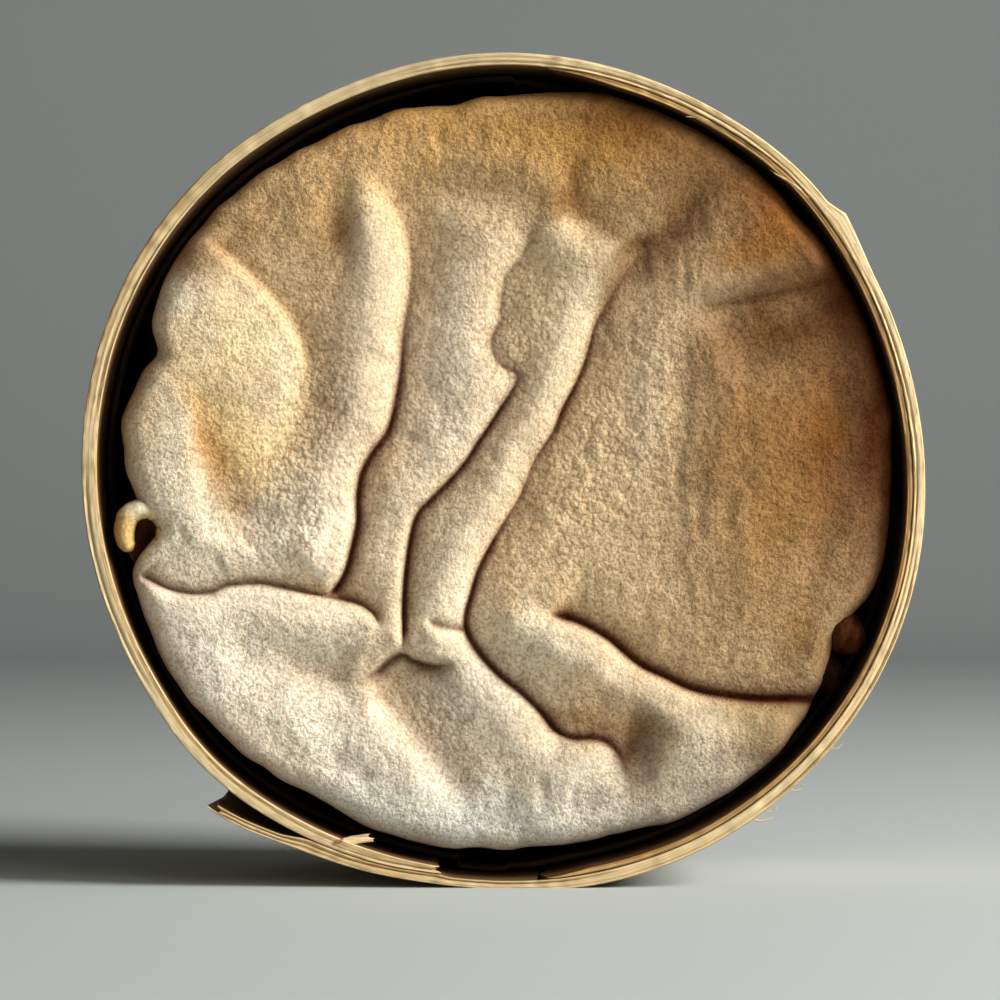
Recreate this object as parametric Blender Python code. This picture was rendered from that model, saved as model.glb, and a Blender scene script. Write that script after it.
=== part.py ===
"""A soft washed-rind cheese in its round bentwood case, standing on edge.

The wrinkled face looks towards -Y. The origin is on the floor, under the middle of the case.
Lengths in the tables are millimetres, and MM turns them into metres.
"""

import math

import bmesh
import bpy
import numpy as np

MM = 0.001

# Driving dimensions
CASE_DEPTH = 50.0
CENTRE_HEIGHT = 59.4
STRIP_EDGE_CHAMFER = 0.25
FIT_GAP = 0.3
PLY_THICKNESS = 0.85
PLY_SETBACK = 0.7
PLY_START_ANGLE = 83.0
PLY_END_ANGLE = -84.0
STRAP_THICKNESS = 0.8
STRAP_SETBACK = 13.0
BOARD_THICKNESS = 3.0
BOARD_INSET = 0.4
CHEESE_RECESS = 2.6
EDGE_ROLL = 5.0
GRID = 60
CREASE_SEARCH = 2.6

# The bent strip runs clockwise from its inner end. Its outer radius and its thickness
# at so many degrees from that end, where 0 is the inner end and 388 the free tail
STRIP_START_ANGLE = 260.0
STRIP_LENGTH_DEGREES = 388.0
STRIP_OUTER_RADIUS = [
    (0, 58.15), (10, 58.9), (20, 59.5), (35, 60.3), (50, 60.0), (80, 60.3), (110, 60.5),
    (125, 60.2), (140, 59.5), (170, 59.5), (200, 59.5), (215, 59.9), (230, 59.5),
    (245, 59.4), (260, 59.8), (275, 60.5), (305, 61.0), (325, 60.8), (340, 60.3),
    (350, 59.7), (360, 59.7), (370, 60.45), (380, 61.5), (388, 63.4),
]
STRIP_THICKNESS = [
    (0, 1.1), (10, 1.65), (20, 1.9), (40, 2.1), (170, 1.8), (215, 1.6), (260, 1.7),
    (320, 1.8), (340, 1.7), (350, 1.3), (360, 1.2), (388, 1.3),
]
TAIL_LIFT_AT_BACK = 1.7
KINK_ANGLE = 37.0
KINK_HEIGHT = 1.1
KINK_WIDTH_ABOVE = 3.0
KINK_WIDTH_BELOW = 9.0
KINK_SHARE_AT_BACK = 0.2

# The cheese's edge as a radius every 15 degrees, anticlockwise from +X, and its local notches
# and lobes as (angle, change of radius, half width in degrees)
EDGE_RADIUS = [
    55.6, 56.0, 55.9, 55.8, 56.4, 55.9, 54.0, 53.9, 54.6, 55.7, 55.8, 54.2,
    54.5, 55.1, 56.0, 55.4, 54.2, 54.9, 54.2, 54.5, 56.0, 56.2, 54.6, 55.8,
]
EDGE_LOCAL = [
    (172.5, 1.3, 4.0), (161.0, -1.8, 2.6), (184.5, -3.0, 3.6), (-26.0, -1.8, 4.5), (98.0, -0.8, 3.5),
]

# Folds of the rind. Each is a line through a few points (x, z) from the middle of the face.
# Walking along it, the rounded lip is on the right hand: lip height, lip width and reach, then
# the depth of the crease and how far it spreads on the left hand
FOLDS = {
    "A": ([(-13.0, 39.0), (-13.3, 29.3), (-14.7, 14.3), (-16.5, 6.0), (-20.9, -3.0),
           (-21.2, -9.3), (-25.6, -18.2)], 1.2, 3.0, 5.0, 3.3, 4.0),
    "B": ([(4.6, 38.5), (2.2, 30.5), (-0.6, 24.5), (-2.2, 18.3), (1.3, 13.0), (-1.5, 7.2),
           (-11.7, -4.9), (-14.5, -13.6), (-15.0, -19.3), (-14.6, -28.0)], 1.0, 2.6, 4.5, 3.0, 3.4),
    "C": ([(31.0, 45.0), (21.5, 33.2), (14.6, 24.0), (9.7, 12.2), (3.7, -0.6), (-3.0, -11.2),
           (-5.6, -20.3), (-5.9, -24.0)], 1.3, 3.0, 5.0, 4.0, 6.0),
    "D": ([(-9.6, -21.6), (-5.8, -23.4), (-0.7, -29.9), (6.2, -36.1), (9.4, -38.9),
           (15.0, -39.4), (18.3, -44.0), (19.2, -49.5)], 1.1, 3.0, 4.5, 3.2, 4.2),
    "E": ([(-55.0, -14.2), (-47.2, -16.9), (-41.4, -17.3), (-35.8, -16.4), (-25.3, -18.3),
           (-16.4, -23.0)], 1.0, 2.8, 4.0, 3.0, 2.8),
    "F": ([(-23.4, -31.0), (-16.2, -27.8), (-11.4, -27.4), (-5.4, -29.8)], 0.0, 2.4, 3.0, 1.8, 2.8),
    "G": ([(4.6, -19.6), (14.3, -24.3), (20.0, -28.6), (28.3, -31.6), (40.1, -33.0),
           (52.0, -34.8)], 1.2, 3.2, 5.0, 3.4, 4.0),
    "H": ([(-22.6, -29.4), (-15.7, -34.6), (-10.4, -41.5), (-6.0, -47.0)], 1.2, 4.0, 5.0, 1.6, 5.0),
    "J": ([(5.2, 38.8), (12.4, 34.3), (20.6, 30.8)], 0.3, 3.0, 4.0, 1.6, 3.0),
    "M": ([(49.0, 29.2), (36.8, 25.3), (25.5, 22.2)], 0.9, 3.6, 5.0, 1.3, 5.0),
    "N": ([(-44.5, 34.5), (-33.6, 26.6), (-27.6, 17.2), (-30.6, 7.4), (-35.0, -1.5)],
          1.6, 5.0, 5.5, 1.5, 6.0),
}

# Broad swellings and hollows: x, z, half width, half height, turn in degrees, height
SWELLINGS = [
    (-39.5, 18.0, 6.0, 9.5, 10, 1.1), (-19.5, 14.0, 3.2, 15.0, 8, 0.8), (-24.0, 37.0, 5.0, 7.0, 20, 0.7),
    (-47.5, -1.0, 4.5, 11.0, 5, 0.9), (-37.5, -3.0, 3.0, 9.0, 15, -0.9), (-29.0, -23.5, 9.0, 3.6, -5, 1.0),
    (-38.0, -31.0, 8.0, 6.0, -40, 0.8), (-10.6, -23.4, 3.2, 2.6, 0, 0.8), (0.5, -21.5, 4.0, 4.0, 0, 0.8),
    (13.5, -44.4, 5.2, 3.4, 0, 1.3), (21.5, -38.0, 3.0, 6.0, -10, -1.3), (31.0, 2.0, 9.0, 15.0, -8, 1.3),
    (0.0, 16.6, 2.6, 3.4, 0, 0.7), (-9.0, -37.0, 6.5, 5.5, 40, -0.8), (33.0, -39.0, 9.0, 3.2, 10, 0.8),
    (38.0, 36.0, 6.0, 6.0, 0, 0.7), (-4.5, 43.5, 16.0, 3.4, 0, 0.9), (11.0, 43.5, 2.6, 6.0, -15, -1.0),
]

# Lumps on the side of the cheese: angle, depth behind the face, height, half size
SIDE_LUMPS = [(-25.7, 7.0, 3.3, 2.8), (-32.5, 9.0, 2.2, 2.6)]

# The small rolled curl at the left edge: centre, radius of the bend and of its body
CURL_CENTRE = (-52.6, -8.2)
CURL_BEND_RADIUS = 2.2
CURL_BODY_RADIUS = 1.15


def clear_scene():
    for old in list(bpy.data.objects):
        bpy.data.objects.remove(old, do_unlink=True)


def material(name, colour, roughness):
    made = bpy.data.materials.new(name)
    made.use_nodes = True
    shader = made.node_tree.nodes["Principled BSDF"]
    shader.inputs["Base Color"].default_value = (*colour, 1.0)
    shader.inputs["Roughness"].default_value = roughness
    shader.inputs["Metallic"].default_value = 0.0
    return made


def add_object(name, bm, made, smooth_angle):
    bmesh.ops.recalc_face_normals(bm, faces=bm.faces)
    mesh = bpy.data.meshes.new(name)
    bm.to_mesh(mesh)
    bm.free()
    obj = bpy.data.objects.new(name, mesh)
    bpy.context.scene.collection.objects.link(obj)
    mesh.materials.append(made)
    mesh.shade_smooth()
    mesh.set_sharp_from_angle(angle=math.radians(smooth_angle))
    return obj


def smooth_step(value):
    value = np.clip(value, 0.0, 1.0)
    return value * value * (3.0 - 2.0 * value)


def along_table(table, at):
    """A smooth curve through (place, value) pairs, held level past both ends."""
    places = [place for place, _ in table]
    values = [value for _, value in table]
    slopes = np.gradient(values, places)
    index = int(np.clip(np.searchsorted(places, at, side="right") - 1, 0, len(places) - 2))
    span = places[index + 1] - places[index]
    t = min(max((at - places[index]) / span, 0.0), 1.0)
    start = (2 * t**3 - 3 * t**2 + 1) * values[index]
    leave = (t**3 - 2 * t**2 + t) * span * slopes[index]
    end = (3 * t**2 - 2 * t**3) * values[index + 1]
    arrive = (t**3 - t**2) * span * slopes[index + 1]
    return start + leave + end + arrive


def kink_bulge(degrees):
    """The outward bulge where the strip has buckled, at an angle anticlockwise from +X."""
    away = (degrees - KINK_ANGLE + 180.0) % 360.0 - 180.0
    width = KINK_WIDTH_ABOVE if away > 0.0 else KINK_WIDTH_BELOW
    return KINK_HEIGHT * max(0.0, 1.0 - abs(away) / width) ** 1.3


def strip_radii(run, back):
    """Inner and outer radius of the strip, run degrees from its inner end, at front or back."""
    outer = along_table(STRIP_OUTER_RADIUS, run)
    if 200.0 < run < 260.0:
        outer += kink_bulge(STRIP_START_ANGLE - run) * (KINK_SHARE_AT_BACK if back else 1.0)
    if back and run > 372.0:
        outer -= TAIL_LIFT_AT_BACK * (run - 372.0) / (STRIP_LENGTH_DEGREES - 372.0)
    return outer - along_table(STRIP_THICKNESS, run), outer


def inner_wall(degrees):
    """Inner radius of the bent strip's innermost layer at this angle."""
    run = (STRIP_START_ANGLE - degrees) % 360.0
    walls = [strip_radii(run, False)[0]]
    bulge = kink_bulge(degrees)
    if run < 12.0:
        walls.append(strip_radii(run + 360.0, False)[0])
    return min(walls) - bulge


def has_ply(degrees, margin=0.0):
    turned = (degrees + 180.0) % 360.0 - 180.0
    return PLY_END_ANGLE - margin <= turned <= PLY_START_ANGLE + margin


def ply_thickness(degrees):
    """The inner veneer thins to a point at its upper end and to a feather at its lower end."""
    turned = (degrees + 180.0) % 360.0 - 180.0
    top = (PLY_START_ANGLE - turned) / 9.0
    bottom = (turned - PLY_END_ANGLE) / 6.0
    return 0.2 + (PLY_THICKNESS - 0.2) * min(max(min(top, bottom), 0.0), 1.0)


def clear_radius(degrees):
    """Inner radius left free by the case and its veneer."""
    radius = inner_wall(degrees)
    if has_ply(degrees, 3.0):
        radius -= FIT_GAP + ply_thickness(degrees)
    return radius


def place(radius, degrees, depth):
    """A point from polar values in the face's plane, in metres, kept above the floor."""
    angle = math.radians(degrees)
    x = radius * math.cos(angle)
    z = max(radius * math.sin(angle), -CENTRE_HEIGHT)
    return (x * MM, depth * MM, (z + CENTRE_HEIGHT) * MM)


def band(sections, closed):
    """Joins like rings of points into a closed band, with end caps where it doesn't close."""
    bm = bmesh.new()
    rings = [[bm.verts.new(point) for point in section] for section in sections]
    count = len(rings[0])
    pairs = list(zip(rings, rings[1:] + rings[:1])) if closed else list(zip(rings, rings[1:]))
    for ring, following in pairs:
        for k in range(count):
            after = (k + 1) % count
            bm.faces.new((ring[k], ring[after], following[after], following[k]))
    if not closed:
        bm.faces.new(rings[0])
        bm.faces.new(list(reversed(rings[-1])))
    return bm


def chamfered_section(degrees, inner, outer, front, back, inner_back=None, outer_back=None):
    """An eight-sided section of a strip, chamfered along its four edges."""
    c = min(STRIP_EDGE_CHAMFER, (outer - inner) * 0.3)
    inner_back = inner if inner_back is None else inner_back
    outer_back = outer if outer_back is None else outer_back
    corners = [
        (inner, front + c), (inner_back, back - c), (inner_back + c, back), (outer_back - c, back),
        (outer_back, back - c), (outer, front + c), (outer - c, front), (inner + c, front),
    ]
    return [place(radius, degrees, depth) for radius, depth in corners]


def make_hoop(made):
    sections = []
    steps = 124
    for step in range(steps + 1):
        run = STRIP_LENGTH_DEGREES * step / steps
        inner, outer = strip_radii(run, False)
        inner_back, outer_back = strip_radii(run, True)
        degrees = STRIP_START_ANGLE - run
        half = CASE_DEPTH / 2
        sections.append(chamfered_section(degrees, inner, outer, -half, half, inner_back, outer_back))
    return add_object("hoop", band(sections, False), made, 40)


def make_ply(made):
    sections = []
    steps = 52
    front = -CASE_DEPTH / 2 + PLY_SETBACK
    back = CASE_DEPTH / 2 - BOARD_THICKNESS - BOARD_INSET - FIT_GAP
    for step in range(steps + 1):
        degrees = PLY_START_ANGLE + (PLY_END_ANGLE - PLY_START_ANGLE) * step / steps
        outer = inner_wall(degrees) - FIT_GAP
        inner = outer - ply_thickness(degrees)
        sections.append(chamfered_section(degrees, inner, outer, front, back))
    return add_object("inner_ply", band(sections, False), made, 40)


def make_strap(made):
    sections = []
    steps = 72
    front = -CASE_DEPTH / 2 + STRAP_SETBACK
    back = CASE_DEPTH / 2 - BOARD_THICKNESS - BOARD_INSET - FIT_GAP
    for step in range(steps):
        degrees = 360.0 * step / steps
        outer = strap_outer(degrees)
        inner = outer - STRAP_THICKNESS
        corners = [(inner, front), (inner, back), (outer, back), (outer, front)]
        sections.append([place(radius, degrees, depth) for radius, depth in corners])
    return add_object("bark_strap", band(sections, True), made, 40)


def strap_outer(degrees):
    around = [clear_radius(degrees + offset) for offset in (-3.0, -1.5, 0.0, 1.5, 3.0)]
    return min(around) - FIT_GAP - 0.05


def make_board(made):
    steps = 72
    front = CASE_DEPTH / 2 - BOARD_THICKNESS - BOARD_INSET
    back = CASE_DEPTH / 2 - BOARD_INSET
    bm = bmesh.new()
    ring = []
    for step in range(steps):
        degrees = 360.0 * step / steps
        around = [inner_wall(degrees + offset) for offset in (-3.0, -1.5, 0.0, 1.5, 3.0)]
        ring.append(bm.verts.new(place(min(around) - FIT_GAP - 0.05, degrees, front)))
    face = bm.faces.new(ring)
    made_faces = bmesh.ops.extrude_face_region(bm, geom=[face])
    moved = [v for v in made_faces["geom"] if isinstance(v, bmesh.types.BMVert)]
    bmesh.ops.translate(bm, verts=moved, vec=(0.0, (back - front) * MM, 0.0))
    return add_object("base_board", bm, made, 40)


def spline_through(points, per_span=8):
    """A Catmull-Rom curve through the points, as an array of closer points."""
    points = np.array(points, float)
    padded = np.vstack([2 * points[0] - points[1], points, 2 * points[-1] - points[-2]])
    found = []
    for a, b, c, d in zip(padded, padded[1:], padded[2:], padded[3:]):
        for t in np.arange(per_span) / per_span:
            found.append(0.5 * (2 * b + (c - a) * t + (2 * a - 5 * b + 4 * c - d) * t**2
                                + (3 * b - a - 3 * c + d) * t**3))
    found.append(points[-1])
    return np.array(found)


def distance_to_line(x, z, line):
    """Distance from each point to the line, positive on its right hand, the place along it,
    and the steps in x and z that would bring the point onto it."""
    best = np.full(x.shape, 1e9)
    signed = np.zeros(x.shape)
    along = np.zeros(x.shape)
    step_x = np.zeros(x.shape)
    step_z = np.zeros(x.shape)
    lengths = np.hypot(*np.diff(line, axis=0).T)
    total = lengths.sum()
    before = 0.0
    for (start, end), length in zip(zip(line, line[1:]), lengths):
        tx, tz = (end - start) / length
        dx, dz = x - start[0], z - start[1]
        t = np.clip(dx * tx + dz * tz, 0.0, length)
        away = np.hypot(dx - t * tx, dz - t * tz)
        nearer = away < best
        side = np.where(dx * tz - dz * tx >= 0.0, 1.0, -1.0)
        best = np.where(nearer, away, best)
        signed = np.where(nearer, away * side, signed)
        along = np.where(nearer, (before + t) / total, along)
        step_x = np.where(nearer, t * tx - dx, step_x)
        step_z = np.where(nearer, t * tz - dz, step_z)
        before += length
    return signed, along, step_x, step_z


def crossing_points(away, inside):
    """Marks, for each grid edge that crosses a crease, the end that lies nearer to it."""
    marked = np.zeros(away.shape, bool)
    for first, second in (
        (np.s_[:-1, :], np.s_[1:, :]),
        (np.s_[:, :-1], np.s_[:, 1:]),
    ):
        crosses = (away[first] > 0) != (away[second] > 0)
        crosses &= inside[first] & inside[second]
        nearer_first = np.abs(away[first]) <= np.abs(away[second])
        marked[first] |= crosses & nearer_first
        marked[second] |= crosses & ~nearer_first
    return marked


def pull_onto_folds(x, z):
    """Moves one point of every grid edge that crosses a crease onto it, so that it runs clean."""
    nearest = np.full(x.shape, 1e9)
    move_x = np.zeros(x.shape)
    move_z = np.zeros(x.shape)
    for points, *_ in FOLDS.values():
        away, along, step_x, step_z = distance_to_line(x, z, spline_through(points))
        inside = (along > 0.01) & (along < 0.99) & (np.abs(away) < CREASE_SEARCH)
        take = crossing_points(away, inside) & (np.abs(away) < nearest)
        nearest = np.where(take, np.abs(away), nearest)
        move_x = np.where(take, step_x, move_x)
        move_z = np.where(take, step_z, move_z)
    return x + move_x, z + move_z


def fold_height(x, z, points, lip, lip_width, lip_reach, crease, crease_reach):
    """Height that one fold adds: a rounded lip on one hand and a sunken slope on the other."""
    away, along, _, _ = distance_to_line(x, z, spline_through(points))
    ends = smooth_step(along / 0.14) * smooth_step((1.0 - along) / 0.14)
    rise = np.sin(np.clip(away / lip_width, 0.0, 1.0) * math.pi / 2)
    beyond = np.exp(-(np.maximum(away - lip_width, 0.0) / lip_reach) ** 2)
    high_side = -crease * (1.0 - rise) + lip * rise * beyond
    low_side = -crease * np.exp(-np.maximum(-away, 0.0) / crease_reach)
    return np.where(away > 0.0, high_side, low_side) * ends


def swelling_height(x, z, middle_x, middle_z, half_x, half_z, turn, height):
    angle = math.radians(turn)
    dx, dz = x - middle_x, z - middle_z
    across = dx * math.cos(angle) + dz * math.sin(angle)
    up = dz * math.cos(angle) - dx * math.sin(angle)
    return height * np.exp(-(across / half_x) ** 2 - (up / half_z) ** 2)


def face_height(x, z):
    """How far the face stands forward of its mean plane, from all folds and swellings."""
    height = -1.0 + 1.3 * (np.hypot(x, z) / 50.0) ** 2
    for points, lip, lip_width, lip_reach, crease, crease_reach in FOLDS.values():
        height = height + fold_height(x, z, points, lip, lip_width, lip_reach, crease, crease_reach)
    for swelling in SWELLINGS:
        height = height + swelling_height(x, z, *swelling)
    return height


def edge_radius(degrees):
    """Outline of the face as a smooth closed curve with its notches and lobes."""
    turned = degrees % 360.0
    index = int(turned // 15.0)
    t = (turned - 15.0 * index) / 15.0
    a, b, c, d = (EDGE_RADIUS[(index + k) % 24] for k in (-1, 0, 1, 2))
    radius = 0.5 * (2 * b + (c - a) * t + (2 * a - 5 * b + 4 * c - d) * t**2
                    + (3 * b - a - 3 * c + d) * t**3)
    for middle, change, width in EDGE_LOCAL:
        away = (turned - middle + 180.0) % 360.0 - 180.0
        radius += change * math.exp(-(away / width) ** 2)
    return min(radius, clear_radius(turned) - 0.6)


def disc_grid():
    """Square grid squeezed onto a disc: fraction of the radius and angle of every point."""
    fractions = np.zeros((GRID + 1, GRID + 1))
    angles = np.zeros((GRID + 1, GRID + 1))
    for i in range(GRID + 1):
        for j in range(GRID + 1):
            u, v = 2.0 * i / GRID - 1.0, 2.0 * j / GRID - 1.0
            if u == 0.0 and v == 0.0:
                continue
            if abs(u) > abs(v):
                fractions[i, j] = abs(u)
                angle = (math.pi / 4) * (v / u) + (math.pi if u < 0.0 else 0.0)
            else:
                fractions[i, j] = abs(v)
                angle = math.pi / 2 - (math.pi / 4) * (u / v) + (math.pi if v < 0.0 else 0.0)
            angles[i, j] = math.degrees(angle)
    return fractions, angles


def face_points():
    """Front surface of the cheese as arrays of x, depth and z in millimetres."""
    fractions, angles = disc_grid()
    edge = np.vectorize(edge_radius)(angles)
    flat_part = 1.0 - EDGE_ROLL * 1.35 / edge
    roll = np.clip((fractions - flat_part) / (1.0 - flat_part), 0.0, 1.0) * math.pi / 2
    radius = np.where(fractions <= flat_part, fractions / flat_part * (edge - EDGE_ROLL),
                      edge - EDGE_ROLL + EDGE_ROLL * np.sin(roll))
    drop = EDGE_ROLL * (1.0 - np.cos(roll))
    x = radius * np.cos(np.radians(angles))
    z = radius * np.sin(np.radians(angles))
    x, z = pull_onto_folds(x, z)
    fade = 0.25 + 0.75 * np.cos(roll)
    height = face_height(x, z) * fade
    height = np.minimum(height, CHEESE_RECESS - 0.6)
    depth = -CASE_DEPTH / 2 + CHEESE_RECESS + drop - height
    return x, depth, z


def rim_order():
    """Indices of the grid's border, once round."""
    border = [(GRID, j) for j in range(GRID)]
    border += [(i, GRID) for i in range(GRID, 0, -1)]
    border += [(0, j) for j in range(GRID, 0, -1)]
    border += [(i, 0) for i in range(GRID)]
    return border


def side_radius(degrees, depth, edge, back_radius):
    """The side starts at the face's edge and swells to fill the strap further back."""
    blend = float(smooth_step((depth + 12.0) / 18.0))
    radius = edge + (back_radius - edge) * blend
    for angle, behind, height, half in SIDE_LUMPS:
        away = ((degrees - angle + 180.0) % 360.0 - 180.0) * math.pi / 180.0 * edge
        fore = depth - (-CASE_DEPTH / 2 + CHEESE_RECESS + behind)
        radius += height * math.exp(-(away / half) ** 2 - (fore / half) ** 2)
    limit = clear_radius(degrees) - 0.5 if depth < -CASE_DEPTH / 2 + STRAP_SETBACK - 1.0 else back_radius
    return min(radius, limit)


def split_squares(bm, verts, x, depth, z):
    """Splits each grid square along the diagonal that lies closer to the true surface."""
    middle_x = (x[:-1, :-1] + x[1:, 1:] + x[1:, :-1] + x[:-1, 1:]) / 4
    middle_z = (z[:-1, :-1] + z[1:, 1:] + z[1:, :-1] + z[:-1, 1:]) / 4
    height = face_height(middle_x, middle_z)
    corner_height = face_height(x, z)
    rising = np.abs((corner_height[:-1, :-1] + corner_height[1:, 1:]) / 2 - height)
    falling = np.abs((corner_height[1:, :-1] + corner_height[:-1, 1:]) / 2 - height)
    for i in range(GRID):
        for j in range(GRID):
            a, b, c, d = verts[i, j], verts[i + 1, j], verts[i + 1, j + 1], verts[i, j + 1]
            if rising[i, j] <= falling[i, j]:
                bm.faces.new((a, b, c))
                bm.faces.new((a, c, d))
            else:
                bm.faces.new((a, b, d))
                bm.faces.new((b, c, d))


def make_cheese_body():
    x, depth, z = face_points()
    bm = bmesh.new()
    verts = {}
    for i in range(GRID + 1):
        for j in range(GRID + 1):
            point = (x[i, j] * MM, depth[i, j] * MM, (z[i, j] + CENTRE_HEIGHT) * MM)
            verts[i, j] = bm.verts.new(point)
    split_squares(bm, verts, x, depth, z)
    border = rim_order()
    back = CASE_DEPTH / 2 - BOARD_THICKNESS - BOARD_INSET - FIT_GAP
    ring = [verts[index] for index in border]
    rows = [(-15.5, 0.0), (-12.5, 0.0), (-6.5, 0.0), (1.0, 0.0), (back - 1.5, 0.0), (back, 1.5)]
    for level, tuck in rows:
        following = []
        for index, (i, j) in enumerate(border):
            degrees = math.degrees(math.atan2(z[i, j], x[i, j]))
            edge = math.hypot(x[i, j], z[i, j])
            around = min(strap_outer(degrees + offset) for offset in (-4.0, 0.0, 4.0))
            back_radius = around - STRAP_THICKNESS - FIT_GAP
            radius = side_radius(degrees, level, edge, back_radius) - tuck
            following.append(bm.verts.new(place(radius, degrees, level)))
        for k in range(len(ring)):
            after = (k + 1) % len(ring)
            bm.faces.new((ring[k], ring[after], following[after], following[k]))
        ring = following
    bm.faces.new(ring)
    return bm


def make_curl_cutter(made):
    """A short rolled tongue of rind, bent like a C that opens towards the face."""
    bm_sections = []
    steps = 12
    for step in range(steps + 1):
        t = step / steps
        angle = math.radians(20.0 + 300.0 * t)
        taper = CURL_BODY_RADIUS * (0.85 + 0.3 * math.sin(math.pi * t))
        centre_x = CURL_CENTRE[0] + CURL_BEND_RADIUS * math.cos(angle)
        centre_z = CURL_CENTRE[1] + CURL_BEND_RADIUS * 1.25 * math.sin(angle)
        depth = -CASE_DEPTH / 2 + CHEESE_RECESS + 3.0 + 1.5 * t
        section = []
        for k in range(8):
            around = 2.0 * math.pi * k / 8
            out = taper * math.cos(around)
            section.append(((centre_x + out * math.cos(angle)) * MM,
                            (depth + taper * 1.6 * math.sin(around)) * MM,
                            (centre_z + out * math.sin(angle) + CENTRE_HEIGHT) * MM))
        bm_sections.append(section)
    return add_object("curl", band(bm_sections, False), made, 60)


def make_cheese(made):
    cheese = add_object("cheese", make_cheese_body(), made, 60)
    curl = make_curl_cutter(made)
    union = cheese.modifiers.new("join curl", "BOOLEAN")
    union.operation = "UNION"
    union.solver = "EXACT"
    union.object = curl
    curl.hide_render = True
    curl.display_type = "WIRE"
    return cheese


def main():
    clear_scene()
    spruce = material("spruce", (0.62, 0.46, 0.26), 0.62)
    spruce_inner = material("spruce_inner", (0.42, 0.27, 0.13), 0.68)
    bark = material("bark", (0.16, 0.09, 0.05), 0.8)
    rind = material("rind", (0.60, 0.46, 0.29), 0.78)
    make_hoop(spruce)
    make_ply(spruce_inner)
    make_strap(bark)
    make_board(spruce)
    make_cheese(rind)


main()
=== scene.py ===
import math

import bmesh
import bpy
import numpy as np
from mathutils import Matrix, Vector


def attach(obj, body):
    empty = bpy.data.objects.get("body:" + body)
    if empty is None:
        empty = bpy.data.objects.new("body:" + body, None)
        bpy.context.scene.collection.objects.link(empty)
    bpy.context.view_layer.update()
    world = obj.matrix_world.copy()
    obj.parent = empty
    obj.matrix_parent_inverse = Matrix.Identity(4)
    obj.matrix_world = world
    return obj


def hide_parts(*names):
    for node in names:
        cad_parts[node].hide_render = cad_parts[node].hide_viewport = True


# A soft washed-rind cheese in its bent spruce case, standing on edge with its face towards -Y.
# Lengths in the tables are millimetres from the middle of the face, and mm turns them into metres.
mm = 0.001

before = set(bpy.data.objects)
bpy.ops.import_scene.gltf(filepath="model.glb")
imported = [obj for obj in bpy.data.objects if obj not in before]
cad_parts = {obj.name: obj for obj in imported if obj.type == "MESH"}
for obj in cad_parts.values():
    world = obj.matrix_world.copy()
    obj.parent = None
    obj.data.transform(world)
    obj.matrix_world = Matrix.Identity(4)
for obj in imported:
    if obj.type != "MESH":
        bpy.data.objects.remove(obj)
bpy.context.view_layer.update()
print("frame loaded")

case = {
    "halfDepth": 25.0,
    "centreHeight": 59.4,
    "boardThickness": 3.0,
    "boardInset": 0.4,
    "gap": 0.3,
}


# Small tools

def smoothStep(value):
    value = np.clip(value, 0.0, 1.0)
    return value * value * (3.0 - 2.0 * value)


def bell(away, width):
    return np.exp(-(away / width) ** 2)


def turnedTo(degrees, middle):
    # angle from the middle, between -180 and 180
    return (degrees - middle + 180.0) % 360.0 - 180.0


def fromHex(text):
    # a screen colour such as "d9c09a" as linear red, green and blue
    values = [int(text[k:k + 2], 16) / 255.0 for k in (0, 2, 4)]
    return np.array([v / 12.92 if v <= 0.04045 else ((v + 0.055) / 1.055) ** 2.4 for v in values])


def latticeValue(ix, iy, seed):
    # a repeatable random number for each cell of a lattice
    n = (ix * 374761393 + iy * 668265263 + seed * 2147483647 + 144665) & 0xFFFFFFFF
    n = ((n ^ (n >> 13)) * 1274126177) & 0xFFFFFFFF
    n = ((n ^ (n >> 16)) * 2246822519) & 0xFFFFFFFF
    return ((n ^ (n >> 15)) & 0xFFFF) / 65535.0


def noise(x, y, pitch, seed):
    # smooth noise from -1 to 1 with lumps about one pitch apart
    u, v = np.asarray(x) / pitch + 1000.0, np.asarray(y) / pitch + 1000.0
    ix, iy = np.floor(u).astype(np.int64), np.floor(v).astype(np.int64)
    fx, fy = u - ix, v - iy
    fx = fx * fx * fx * (fx * (fx * 6 - 15) + 10)
    fy = fy * fy * fy * (fy * (fy * 6 - 15) + 10)
    low = latticeValue(ix, iy, seed) * (1 - fx) + latticeValue(ix + 1, iy, seed) * fx
    high = latticeValue(ix, iy + 1, seed) * (1 - fx) + latticeValue(ix + 1, iy + 1, seed) * fx
    return 2.0 * (low * (1 - fy) + high * fy) - 1.0


def layered(x, y, pitch, seed, layers=3):
    # noise with finer and weaker noise on top
    total = np.zeros(np.shape(x))
    strength = 1.0
    for layer in range(layers):
        turn = 0.7 * layer
        a = x * math.cos(turn) + y * math.sin(turn)
        b = y * math.cos(turn) - x * math.sin(turn)
        total = total + strength * noise(a, b, pitch / 2 ** layer, seed + 17 * layer)
        strength *= 0.5
    return total


def splineAt(a, b, c, d, t):
    # between b and c, on a smooth curve that comes from a and goes on to d
    return 0.5 * (2 * b + (c - a) * t + (2 * a - 5 * b + 4 * c - d) * t ** 2
                  + (3 * b - a - 3 * c + d) * t ** 3)


def throughPoints(points, perSpan=10):
    # a smooth curve through the points
    points = np.array(points, float)
    padded = np.vstack([2 * points[0] - points[1], points, 2 * points[-1] - points[-2]])
    found = []
    for a, b, c, d in zip(padded, padded[1:], padded[2:], padded[3:]):
        found += [splineAt(a, b, c, d, t) for t in np.arange(perSpan) / perSpan]
    found.append(points[-1])
    return np.array(found)


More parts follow.
